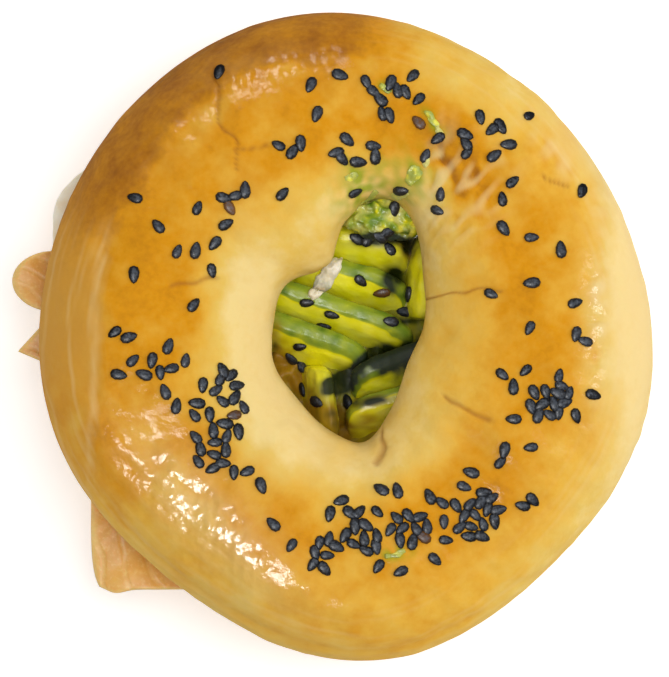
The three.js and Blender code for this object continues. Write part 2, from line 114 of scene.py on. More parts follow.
def srgb(red: int, green: int, blue: int) -> Colour:
    """Linear colour, as shaders take it, of a screen colour with parts from 0 to 255."""
    shares = (red / 255, green / 255, blue / 255)
    return (*(s / 12.92 if s <= 0.04045 else ((s + 0.055) / 1.055) ** 2.4 for s in shares), 1.0)


# ---- Rules of the ring ----


@dataclass(frozen=True)
class WavedCircle:
    """Circle with a few waves round it: how many crests each has, how high they are and one crest's degrees.
    It may have dents: how far out each reaches, its direction from 0 to 360, and its spread in degrees."""

    radius: float
    waves: tuple[tuple[int, float, float], ...]
    dents: tuple[Triple, ...] = ()

    def at(self, angle: Array) -> Array:
        """Radius at angles.

        Args:
            angle: Angles in radians.

        Returns:
            The radius at each.
        """
        radius = self.radius + 0 * angle
        for crests, height, at in self.waves:
            radius = radius + height * np.cos(crests * (angle - math.radians(at)))
        for reach, at, spread in self.dents:
            off = (np.degrees(angle) - at + 180) % 360 - 180
            radius = radius + reach * np.exp(-((off / spread) ** 2))
        return radius


@dataclass(frozen=True)
class Ring:
    """Plan of the bagel: outline and hole about the hole's middle. Shares run from hole 0 to rim 1."""

    centre: Pair = (0.9, 2.9)
    outline: WavedCircle = WavedCircle(
        56.2, ((1, 2.5, -120), (2, 1.6, -74), (4, 0.8, 5), (5, 0.5, -17), (6, 0.3, -26))
    )
    hole: WavedCircle = WavedCircle(
        15.8,
        ((1, 0.3, -49), (2, 3.8, 70), (3, 1.6, 58), (4, 1.4, -11), (5, 0.9, 0), (6, 0.4, 24)),
        ((1.5, 276, 10), (-1.4, 107, 8)),
    )

    def band(self, angle: Array) -> Array:
        """Distance from hole to rim at angles in radians."""
        return self.outline.at(angle) - self.hole.at(angle)

    def place(self, angle: Array, share: Array) -> tuple[Array, Array]:
        """X and Y of places that are shares of the way from hole to rim, at angles in radians."""
        radius = self.hole.at(angle) + share * self.band(angle)
        return self.centre[0] + radius * np.cos(angle), self.centre[1] + radius * np.sin(angle)

    def find(self, x: Array, y: Array) -> tuple[Array, Array]:
        """Where places lie on the ring.

        Args:
            x: X of each place.
            y: Y of each place.

        Returns:
            The angle and the share of each.
        """
        angle = np.arctan2(y - self.centre[1], x - self.centre[0])
        radius = np.hypot(x - self.centre[0], y - self.centre[1])
        return angle, (radius - self.hole.at(angle)) / self.band(angle)


@dataclass(frozen=True)
class Placing:
    """Shift from the maker's frame to the model's."""

    x: float
    y: float

    @classmethod
    def from_frame(cls, ring: Ring, rim_share: Callable[[Array], Array], steps: int) -> "Placing":
        """Shift that lays the bottom half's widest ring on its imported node.

        Args:
            ring: Plan of the bagel.
            rim_share: Share of the bottom half's rim at angles.
            steps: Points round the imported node's ring.

        Returns:
            The shift.
        """
        angle = np.linspace(0, TURN, steps, endpoint=False)
        x, y = ring.place(angle, rim_share(angle))
        low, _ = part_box("bagel_bottom")
        return cls(low.x / MM - x.min(), low.y / MM - y.min())

    def to_frame(self, points: Array) -> Array:
        """Points in the model's frame, in metres, from points in millimetres."""
        return (points + np.array([self.x, self.y, 0.0])) * MM


# ---- Unevenness and painted areas ----


def uneven(points: Array, seed: int, length: float, count: int = 30) -> Array:
    """Soft random relief in space: waves of about one length in many directions.

    Args:
        points: Points in millimetres, in the last axis.
        seed: Seed of the waves.
        length: About how long they are.
        count: How many there are.

    Returns:
        Heights about 0, mostly between -2 and 2.
    """
    draw = np.random.default_rng(seed)
    heading = draw.normal(size=(count, 3))
    heading /= np.linalg.norm(heading, axis=1, keepdims=True)
    pace = TURN / (length * draw.uniform(0.7, 1.6, count))
    phase = draw.uniform(0, TURN, count)
    return np.sin(points @ (heading * pace[:, None]).T + phase).sum(-1) / math.sqrt(count / 2)


@dataclass(frozen=True)
class Patch:
    """Soft oval area: its middle, half its length and width, its turn in degrees, and its strength."""

    x: float
    y: float
    long: float
    wide: float
    turn: float = 0.0
    amount: float = 1.0

    def at(self, x: Array, y: Array) -> Array:
        """Strength at places.

        Args:
            x: X of each place.
            y: Y of each place.

        Returns:
            The strength at each.
        """
        cos, sin = math.cos(math.radians(self.turn)), math.sin(math.radians(self.turn))
        along = ((x - self.x) * cos + (y - self.y) * sin) / self.long
        across = ((y - self.y) * cos - (x - self.x) * sin) / self.wide
        return self.amount * np.exp(-(along**2 + across**2))


def painted(patches: tuple[Patch, ...], points: Array) -> Array:
    """Strengths of several patches together at points."""
    return sum(patch.at(points[..., 0], points[..., 1]) for patch in patches)


@dataclass(frozen=True)
class Crack:
    """Split in the crust along a line of points."""

    points: Places
    width: float = 0.45
    depth: float = 0.4

    def at(self, x: Array, y: Array) -> Array:
        """How deep in the crack places lie.

        Args:
            x: X of each place.
            y: Y of each place.

        Returns:
            1 on its line, down to 0 beside it.
        """
        nearest = np.full(np.shape(x), 1e9)
        for (x0, y0), (x1, y1) in zip(self.points, self.points[1:]):
            run = (x1 - x0) ** 2 + (y1 - y0) ** 2
            share = np.clip(((x - x0) * (x1 - x0) + (y - y0) * (y1 - y0)) / run, 0, 1)
            nearest = np.minimum(nearest, np.hypot(x - x0 - share * (x1 - x0), y - y0 - share * (y1 - y0)))
        return np.exp(-((nearest / self.width) ** 2))


def in_scene(name: str, data: bpy.types.ID) -> bpy.types.Object:
    """New object in the scene.

    Args:
        name: Its name.
        data: Its mesh, light or camera.

    Returns:
        The object.
    """
    item = bpy.data.objects.new(name, data)
    bpy.context.scene.collection.objects.link(item)
    return item


# ---- Surfaces ----


@dataclass
class Surface:
    """Closed surface through a grid of points in millimetres, as many in each row, each row a closed loop.
    The rows close on each other too, or else a strip closes each end."""

    points: Array
    is_ring: bool
    marks: dict[Mark, Array] = field(default_factory=dict)

    def faces(self) -> Array:
        """Quads that join the points, four numbers each."""
        rows, columns = self.points.shape[:2]
        index = np.arange(rows * columns).reshape(rows, columns)
        near = index if self.is_ring else index[:-1]
        far = np.roll(index, -1, 0) if self.is_ring else index[1:]
        quads = [np.stack([near, np.roll(near, -1, 1), np.roll(far, -1, 1), far], -1).reshape(-1, 4)]
        if not self.is_ring:
            half = np.arange(columns // 2 - 1)
            other = columns - 1 - half
            first, last = (half, other, other - 1, half + 1), (half, half + 1, other - 1, other)
            for row, corners in ((0, first), (-1, last)):
                quads.append(np.stack([index[row, corner] for corner in corners], -1))
        joined = np.concatenate(quads)
        return joined if self.volume(joined) > 0 else joined[:, ::-1]

    def volume(self, quads: Array) -> float:
        """Volume inside quads.

        Args:
            quads: Four point numbers a row.

        Returns:
            Cubic millimetres, negative where the quads face inwards.
        """
        flat = self.points.reshape(-1, 3)
        corners = flat[quads]
        first = np.einsum("ij,ij->i", corners[:, 0], np.cross(corners[:, 1], corners[:, 2])).sum()
        second = np.einsum("ij,ij->i", corners[:, 0], np.cross(corners[:, 2], corners[:, 3])).sum()
        return float(first + second) / 6

    def normals(self) -> Array:
        """Outward direction at each point."""
        down = np.roll(self.points, -1, 0) - np.roll(self.points, 1, 0)
        if not self.is_ring:
            down[0] = self.points[1] - self.points[0]
            down[-1] = self.points[-1] - self.points[-2]
        across = np.roll(self.points, -1, 1) - np.roll(self.points, 1, 1)
        normal = np.cross(across, down)
        normal /= np.maximum(np.linalg.norm(normal, axis=-1, keepdims=True), 1e-9)
        outward = (normal * (self.points - self.points.mean((0, 1)))).sum()
        if self.is_ring:
            outward = normal[..., 2][self.points[..., 2] > np.quantile(self.points[..., 2], 0.9)].sum()
        return normal if outward > 0 else -normal

    def raise_by(self, relief: Array) -> None:
        """Moves each point outwards by its millimetres of relief."""
        self.points = self.points + self.normals() * relief[..., None]

    def to_piece(self, name: str, placing: Placing) -> Piece:
        """Mesh object of the surface, in the model's frame.

        Args:
            name: Name of the piece.
            placing: Shift to the model's frame.

        Returns:
            The object, at the origin.
        """
        mesh = bpy.data.meshes.new(name)
        mesh.from_pydata(placing.to_frame(self.points.reshape(-1, 3)).tolist(), [], self.faces().tolist())
        for mark, values in self.marks.items():
            attribute = mesh.attributes.new(mark.value, "FLOAT", "POINT")
            attribute.data.foreach_set("value", np.ascontiguousarray(values, np.float32).ravel())
        mesh.shade_smooth()
        mesh.set_sharp_from_angle(angle=SHARP_EDGE)
        return in_scene(name, mesh)


@dataclass(frozen=True)
class Bench:
    """What each piece is finished with: the shift to the model's frame, and a material for each slot."""

    placing: Placing
    materials: dict[Slot, Material]

    def settle(self, piece: Piece, slot: Slot, *nodes: str) -> Piece:
        """Gives a piece its material and its place among the model's parts.

        Args:
            piece: The piece.
            slot: Slot that its material fills.
            nodes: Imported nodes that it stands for, if any.

        Returns:
            The piece.
        """
        piece.data.materials.clear()
        piece.data.materials.append(self.materials[slot])
        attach(piece, BODY)
        if nodes:
            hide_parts(*nodes)
        log.info("%s: %d faces, %s", piece.name, len(piece.data.polygons), slot.value)
        return piece

    def finish(self, surface: Surface, name: str, slot: Slot, *nodes: str) -> Piece:
        """Makes a surface a piece of that name and settles it."""
        return self.settle(surface.to_piece(name, self.placing), slot, *nodes)


class Catcher:
    """Finds where something dropped on pieces comes to lie."""

    def __init__(self, pieces: list[Piece], placing: Placing) -> None:
        """Reads the pieces' meshes.

        Args:
            pieces: What things are dropped on.
            placing: Shift to the model's frame.
        """
        self.placing = placing
        vertices: list[Vector] = []
        polygons: list[list[int]] = []
        for piece in pieces:
            start = len(vertices)
            vertices.extend(vertex.co for vertex in piece.data.vertices)
            polygons.extend([start + corner for corner in face.vertices] for face in piece.data.polygons)
        self.tree = BVHTree.FromPolygons(vertices, polygons)

    def below(self, x: float, y: float) -> tuple[Vector, Vector] | tuple[None, None]:
        """Where a place's plumb line meets the pieces.

        Args:
            x: X of the place in millimetres.
            y: Y of the place.

        Returns:
            The point in millimetres and its normal, or None twice.
        """
        start = Vector(((x + self.placing.x) * MM, (y + self.placing.y) * MM, 0.1))
        place, normal, _, _ = self.tree.ray_cast(start, Vector((0, 0, -1)))
        if place is None:
            return None, None
        return Vector((x, y, place.z / MM)), normal if normal.z > 0 else -normal


# ---- Finishes ----


class Wiring:
    """Adds nodes to a tree and links them."""

    def __init__(self, tree: bpy.types.NodeTree) -> None:
        """Starts on the tree that gets the nodes."""
        self.tree = tree

    def add(self, kind: str, inputs: dict | None = None, **settings: object) -> bpy.types.Node:
        """New node.

        Args:
            kind: Its type.
            inputs: Sockets to link, or plain values, by input name or number.
            settings: Its own properties.

        Returns:
            The node.
        """
        node = self.tree.nodes.new(kind)
        for name, value in settings.items():
            setattr(node, name, value)
        for key, value in (inputs or {}).items():
            if isinstance(value, Socket):
                self.tree.links.new(value, node.inputs[key])
            else:
                node.inputs[key].default_value = value
        return node

    def mark(self, mark: Mark) -> Socket:
        """Number that the surface keeps at each point."""
        return self.add("ShaderNodeAttribute", attribute_name=mark.value).outputs["Fac"]

    def math(self, operation: str, *values: object) -> Socket:
        """Output of a Math node with that operation on sockets or numbers."""
        return self.add("ShaderNodeMath", dict(enumerate(values)), operation=operation).outputs[0]

    def noise(self, scale: float, detail: float = 3) -> Socket:
        """Noise from 0 to 1 over the piece, by its grains a metre and its octaves."""
        inputs = {0: self.add("ShaderNodeTexCoord").outputs["Object"], "Scale": scale, "Detail": detail}
        return self.add("ShaderNodeTexNoise", inputs).outputs["Fac"]

    def grain(self, scale: float, detail: float = 3) -> Socket:
        """Noise over the piece about 0, with the same inputs."""
        return self.math("SUBTRACT", self.noise(scale, detail), 0.5)

    def mix(self, share: object, first: object, second: object) -> Socket:
        """Mix of two colours, by the share of the second."""
        return self.add("ShaderNodeMix", {0: share, 6: first, 7: second}, data_type="RGBA").outputs[2]

    def ramp(self, value: object, stops: tuple[tuple[float, Colour], ...]) -> Socket:
        """Colour for a value.

        Args:
            value: Socket with values from 0 to 1.
            stops: Value and colour of each stop.

        Returns:
            The colour.
        """
        node = self.add("ShaderNodeValToRGB", {"Fac": value})
        elements = node.color_ramp.elements
        while len(elements) < len(stops):
            elements.new(0.5)
        for element, (place, colour) in zip(elements, stops):
            element.position = place
            element.color = colour
        return node.outputs["Color"]

    def span(self, value: object, low: float, high: float, to_low: float, to_high: float) -> Socket:
        """Value moved from the range low to high into the range to_low to to_high."""
        limits = {"From Min": low, "From Max": high, "To Min": to_low, "To Max": to_high}
        return self.add("ShaderNodeMapRange", {"Value": value, **limits}).outputs[0]

    def bump(self, height: object, strength: float, distance: float, under: object = None) -> Socket:
        """Surface direction over a height.

        Args:
            height: Height socket.
            strength: Share of the effect.
            distance: Metres for a height of 1.
            under: Direction that it is added to, if any.

        Returns:
            The direction.
        """
        inputs = {"Height": height, "Strength": strength, "Distance": distance}
        if under is not None:
            inputs["Normal"] = under
        return self.add("ShaderNodeBump", inputs).outputs[0]

    def shade(self, inputs: dict[str, object]) -> None:
        """Ends a material's tree in its shader, given sockets or values by input name."""
        shader = self.add("ShaderNodeBsdfPrincipled", inputs)
        self.add("ShaderNodeOutputMaterial", {"Surface": shader.outputs[0]})


def new_material(name: str) -> tuple[Material, Wiring]:
    """Material with an empty tree.

    Args:
        name: Its name.

    Returns:
        The material and its wiring.
    """
    material = bpy.data.materials.new(name)
    material.use_nodes = True
    material.node_tree.nodes.clear()
    return material, Wiring(material.node_tree)


@dataclass(frozen=True)
class Softness:
    """How light sinks into a surface: its share, how far red, green and blue go, and the metres that 1 is."""

    share: float
    reach: Triple
    scale: float

    def inputs(self) -> dict[str, object]:
        """The shader's inputs for it."""
        names = ("Subsurface Weight", "Subsurface Radius", "Subsurface Scale")
        return dict(zip(names, (self.share, self.reach, self.scale)))


@dataclass(frozen=True)
class CrustFinish:
    """Egg-washed baked crust, from pale dough to brown, with bare crumb where it is cut."""

    name: str = "baked_crust"
    bakes: tuple[tuple[float, Colour], ...] = (
        (0.0, srgb(233, 206, 134)),
        (0.22, srgb(224, 186, 88)),
        (0.45, srgb(222, 170, 58)),
        (0.68, srgb(210, 141, 2)),
        (0.84, srgb(164, 100, 6)),
        (1.0, srgb(100, 54, 6)),
    )
    # Dull tan of the left outer wall, partly the painted sheen and shade of the side away from the key light.
    tan: Colour = srgb(206, 150, 56)
    # Pale colour of flour and stretched dough, also used for painted highlight.
    streak: Colour = srgb(228, 198, 136)
    # Darker brown painted in the cracks, painted shade in the splits.
    crack: Colour = srgb(160, 98, 30)
    smear: Colour = srgb(136, 156, 14)
    crumb: Colour = srgb(244, 228, 190)
    pore: Colour = srgb(214, 182, 124)
    mottle: float = 0.15
    grain: float = 0.14
    dull: float = 0.78
    glazed: float = 0.4
    crumb_rough: float = 0.9
    rough_grain: float = 0.16
    coat_rough: float = 0.17
    specular: float = 0.16
    softness: Softness = Softness(0.08, (1.0, 0.55, 0.25), 0.0016)

    def colour(self, wiring: Wiring, grain: Socket, pores: Socket) -> Socket:
        """Its colour.

        Args:
            wiring: Wiring of the material.
            grain: Fine grain about 0.
            pores: 1 in the pores of the crumb.

        Returns:
            The colour.
        """
        bake = wiring.math("MULTIPLY_ADD", wiring.grain(190, 4), self.mottle, wiring.mark(Mark.BAKE))
        colour = wiring.ramp(wiring.math("MULTIPLY_ADD", grain, self.grain, bake), self.bakes)
        layers = {
            Mark.TAN: self.tan,
            Mark.STREAK: self.streak,
            Mark.CRACK: self.crack,
            Mark.SMEAR: self.smear,
            Mark.CRUMB: wiring.mix(pores, self.crumb, self.pore),
        }
        for mark, layer in layers.items():
            colour = wiring.mix(wiring.mark(mark), colour, layer)
        return colour

    def material(self) -> Material:
        """The material."""
        material, wiring = new_material(self.name)
        grain = wiring.grain(900, 3)
        pores = wiring.span(wiring.noise(700, 2), 0.36, 0.5, 1, 0)
        crumb, gloss = wiring.mark(Mark.CRUMB), wiring.mark(Mark.GLOSS)
        rough = wiring.span(gloss, 0, 1, self.dull, self.glazed)
        rough = wiring.math("MULTIPLY_ADD", grain, self.rough_grain, rough)
        rough = wiring.math("MAXIMUM", rough, wiring.math("MULTIPLY", crumb, self.crumb_rough))
        skin = wiring.bump(wiring.noise(1400, 3), 0.35, 0.00012)
        dimples = wiring.bump(wiring.noise(330, 2), 0.5, 0.0005, skin)
        wiring.shade({
            "Base Color": self.colour(wiring, grain, pores),
            "Roughness": rough,
            "Normal": wiring.bump(wiring.math("MULTIPLY", pores, crumb), 0.8, -0.0006, dimples),
            "Specular IOR Level": self.specular,
            "Coat Weight": gloss,
            "Coat Roughness": self.coat_rough,
            "Coat Normal": wiring.bump(wiring.noise(2300, 3), 0.45, 0.00006, dimples),
            **self.softness.inputs(),
        })
        return material


@dataclass(frozen=True)
class CreamFinish:
    """Soft white spread."""

    name: str = "cream_cheese"
    light: Colour = srgb(252, 244, 226)
    shade: Colour = srgb(240, 224, 190)
    softness: Softness = Softness(0.25, (1.0, 0.85, 0.6), 0.002)

    def material(self) -> Material:
        """The material."""
        material, wiring = new_material(self.name)
        body = wiring.bump(wiring.noise(420, 3), 0.5, 0.0006)
        wiring.shade({
            "Base Color": wiring.mix(
                wiring.span(wiring.noise(260, 3), 0.35, 0.7, 0, 1), self.light, self.shade
            ),
            "Roughness": wiring.span(wiring.noise(520, 2), 0, 1, 0.35, 0.6),
            "Normal": wiring.bump(wiring.noise(2200, 2), 0.3, 0.0001, body),
            **self.softness.inputs(),
        })
        return material


@dataclass(frozen=True)
class SalmonFinish:
    """Moist smoked salmon, tan orange with pale fat lines."""

    name: str = "smoked_salmon"
    meat: Colour = srgb(236, 182, 86)
    dark: Colour = srgb(216, 154, 64)
    fat: Colour = srgb(242, 208, 138)
    thin: Colour = srgb(248, 218, 140)
    fat_share: float = 0.22
    softness: Softness = Softness(0.25, (1.0, 0.5, 0.25), 0.002)

    def material(self) -> Material:
        """The material."""
        material, wiring = new_material(self.name)
        fat = wiring.mark(Mark.FAT)
        colour = wiring.mix(wiring.span(wiring.noise(150, 3), 0.3, 0.7, 0, 1), self.meat, self.dark)
        colour = wiring.mix(wiring.math("MULTIPLY", fat, self.fat_share), colour, self.fat)
        colour = wiring.mix(wiring.mark(Mark.THIN), colour, self.thin)
        speck = wiring.span(wiring.noise(1600, 2), 0.52, 0.7, 0, 0.3)
        flake = wiring.bump(fat, 0.25, -0.0002)
        wiring.shade({
            "Base Color": wiring.mix(speck, colour, self.thin),
            "Roughness": wiring.span(wiring.noise(600, 3), 0, 1, 0.36, 0.66),
            "Normal": wiring.bump(wiring.noise(900, 3), 0.4, 0.0002, flake),
            **self.softness.inputs(),
        })
        return material


@dataclass(frozen=True)
class AvocadoFinish:
    """Avocado flesh, from pale yellow inside to green under the skin."""

    name: str = "avocado_flesh"
    flesh: tuple[tuple[float, Colour], ...] = (
        (0.0, srgb(254, 248, 80)),
        (0.2, srgb(248, 240, 22)),
        (0.42, srgb(228, 222, 16)),
        (0.56, srgb(168, 180, 36)),
        (0.8, srgb(138, 160, 42)),
        (1.0, srgb(104, 134, 26)),
    )
    # Near-black green of the painted shade in the hole, partly the dark skin of slices below.
    deep: Colour = srgb(8, 30, 4)
    mash: Colour = srgb(214, 208, 120)
    # Brown of the patches painted brown in the hole.
    rust: Colour = srgb(164, 112, 16)
    mottle: float = 0.4
    # Roughness where shade is painted, so that it shows no gloss.
    painted_shade_rough: float = 0.75
    softness: Softness = Softness(0.12, (0.8, 1.0, 0.2), 0.0012)

    def material(self) -> Material:
        """The material."""
        material, wiring = new_material(self.name)
        # Share of painted shade at each point.
        deep = wiring.mark(Mark.DEEP)
        skin = wiring.math("MULTIPLY_ADD", wiring.grain(330, 4), self.mottle, wiring.mark(Mark.SKIN))
        colour = wiring.mix(wiring.mark(Mark.CRUMB), wiring.ramp(skin, self.flesh), self.mash)
        colour = wiring.mix(wiring.mark(Mark.RUST), colour, self.rust)
        rough = wiring.span(wiring.noise(700, 2), 0, 1, 0.25, 0.5)
        fibre = wiring.bump(wiring.noise(700, 3), 0.5, 0.0002)
        wiring.shade({
            "Base Color": wiring.mix(deep, colour, self.deep),
            "Roughness": wiring.math("MAXIMUM", rough, wiring.math("MULTIPLY", deep, self.painted_shade_rough)),
            "Normal": wiring.bump(wiring.noise(2600, 2), 0.3, 0.00008, fibre),
            **self.softness.inputs(),
        })
        return material


@dataclass(frozen=True)
class SesameFinish:
    """Black sesame, a few seeds browner, with a blue-grey sheen painted on the tops that face up."""

    name: str = "black_sesame"
    tones: tuple[tuple[float, Colour], ...] = (
        (0.0, srgb(20, 21, 25)),
        (0.7, srgb(30, 32, 37)),
        (0.975, srgb(40, 40, 44)),
        (0.985, srgb(88, 54, 18)),
        (1.0, srgb(112, 72, 28)),
    )
    # Blue-grey of the painted sheen.
    sheen: Colour = srgb(84, 93, 106)
    painted_sheen_share: float = 0.6

    def material(self) -> Material:
        """The material."""
        material, wiring = new_material(self.name)
        grain = wiring.grain(2600, 2)
        normal = wiring.add("ShaderNodeNewGeometry").outputs["Normal"]
        upward = wiring.add("ShaderNodeSeparateXYZ", {0: normal}).outputs["Z"]
        # Painted reflection: tops that face up are mixed towards the blue-grey sheen.
        lit = wiring.span(wiring.math("ADD", upward, grain), 0.8, 1.15, 0, self.painted_sheen_share)
        wiring.shade({
            "Base Color": wiring.mix(lit, wiring.ramp(wiring.mark(Mark.TONE), self.tones), self.sheen),
            "Roughness": wiring.span(grain, -0.5, 0.5, 0.3, 0.55),
            "Normal": wiring.bump(wiring.noise(3500, 2), 0.4, 0.0001),
        })
        return material


# ---- Bread ----


def even_steps(radius: Array, height: Array, values: tuple[Array, ...], steps: int) -> list[Array]:
    """Values along profiles at even steps of their length.

    Args:
        radius: Distance out of each profile's points, one profile a row.
        height: Height of the same points.
        values: More numbers at the same points.
        steps: Points wanted on each profile.

    Returns:
        Each of the values at the new points.
    """
    pace = np.hypot(np.diff(radius, axis=1), np.diff(height, axis=1))
    length = np.concatenate([np.zeros((len(pace), 1)), np.cumsum(pace, axis=1)], axis=1)
    wanted = np.linspace(0, 1, steps) * length[:, -1:]
    return [np.stack([np.interp(w, l, v) for w, l, v in zip(wanted, length, value)]) for value in values]


@dataclass(frozen=True)
class TopShape:
    """Rules of the top half: a flattened dome over a cut face that the filling presses up near the hole. A
    lump round the dome is its height, how many there are and their phase."""

    ring: Ring = Ring()
    crest: float = 47.5
    tilt: Pair = (0.8, -150)
    inner_wall: float = 36.0
    outer_wall: float = 30.0
    shoulder_power: float = 2.6
    dome_power: float = 2.2
    lumps: tuple[tuple[float, int, float], ...] = ((0.5, 3, -0.7), (0.35, 5, 2.1))
    cut_inner: float = 34.3
    cut_outer: float = 23.8
    cut_dish: float = 1.5
    cut_shares: Pair = (0.965, 0.025)
    crease_depth: float = 1.0
    crease_share: float = 0.945
    crease_width: float = 0.022
    crease_span: Triple = (-152, -52, 10)

    def crease(self, angle: Array, share: Array) -> Array:
        """How deep in the crease near the rim places lie.

        Args:
            angle: Angles in radians.
            share: Shares of the way from hole to rim.

        Returns:
            1 along the middle of the crease, down to 0 away from it.
        """
        degrees = np.degrees(np.arctan2(np.sin(angle), np.cos(angle)))
        start, end, fade = self.crease_span
        strength = smooth(degrees, start, start + fade) * (1 - smooth(degrees, end - fade, end))
        return strength * np.exp(-(((share - self.crease_share) / self.crease_width) ** 2))

    def crust(self, angle: Array, share: Array) -> Array:
        """Height of the crust.

        Args:
            angle: Angles in radians.
            share: Shares of the way from hole to rim.

        Returns:
            The heights.
        """
        wall = self.inner_wall + (self.outer_wall - self.inner_wall) * share
        crest = self.crest + self.tilt[0] * np.cos(angle - math.radians(self.tilt[1]))
        rise = np.maximum(0, 1 - np.abs(2 * share - 1) ** self.shoulder_power) ** (1 / self.dome_power)
        lumps = sum(height * np.cos(count * angle + phase) for height, count, phase in self.lumps)
        lumps = lumps * np.sin(math.pi * share)
        return wall + (crest - wall) * rise + lumps - self.crease_depth * self.crease(angle, share)

    def cut(self, share: Array) -> Array:
        """Height of the cut face at shares."""
        inward = np.clip(1 - share, 0, 1)
        return self.cut_outer + (self.cut_inner - self.cut_outer) * inward**self.cut_dish

    def normal(self, x: float, y: float, reach: float = 0.5) -> Vector:
        """Direction out of the crust.

        Args:
            x: X of a place.
            y: Y of the place.
            reach: How far round it the slope is taken.

        Returns:
            The direction.
        """
        xs = np.array([x + reach, x - reach, x, x])
        ys = np.array([y, y, y + reach, y - reach])
        east, west, north, south = self.crust(*self.ring.find(xs, ys))
        return Vector((west - east, south - north, 2 * reach)).normalized()


def unrolled(angle: Array, share: Array, drum: float, stretch: float, drift: Array) -> Array:
    """Places on a drum that turn a pattern into streaks round the ring, longer on a smaller drum."""
    return np.stack([drum * np.cos(angle), drum * np.sin(angle), share * stretch + drift], -1)


@dataclass
class Wear:
    """What proofing, baking and handling did at each point of the top half.

    points, angle, share: Points of the smooth surface, and the angle and share of each.
    cracked: 1 in a crack, and groove its depth in millimetres.
    folds, fine: Ridges of the wrinkled skin and its finer grain, and wrinkled how much of them shows.
    brushed: Streaks round the ring.
    flakes: Flakes of the torn skin, and torn how much of them shows.
    side: 0 on the browned side of the shoulder and 1 on its brushed side.
    fade: 1 where the shoulder shows at all.
    past: Millimetres outside the shoulder's line, and shoulder is 1 there.
    """

    cracked: Array
    groove: Array
    folds: Array
    fine: Array
    wrinkled: Array
    brushed: Array
    flakes: Array
    torn: Array
    side: Array
    fade: Array
    past: Array
    shoulder: Array
    points: Array
    angle: Array
    share: Array


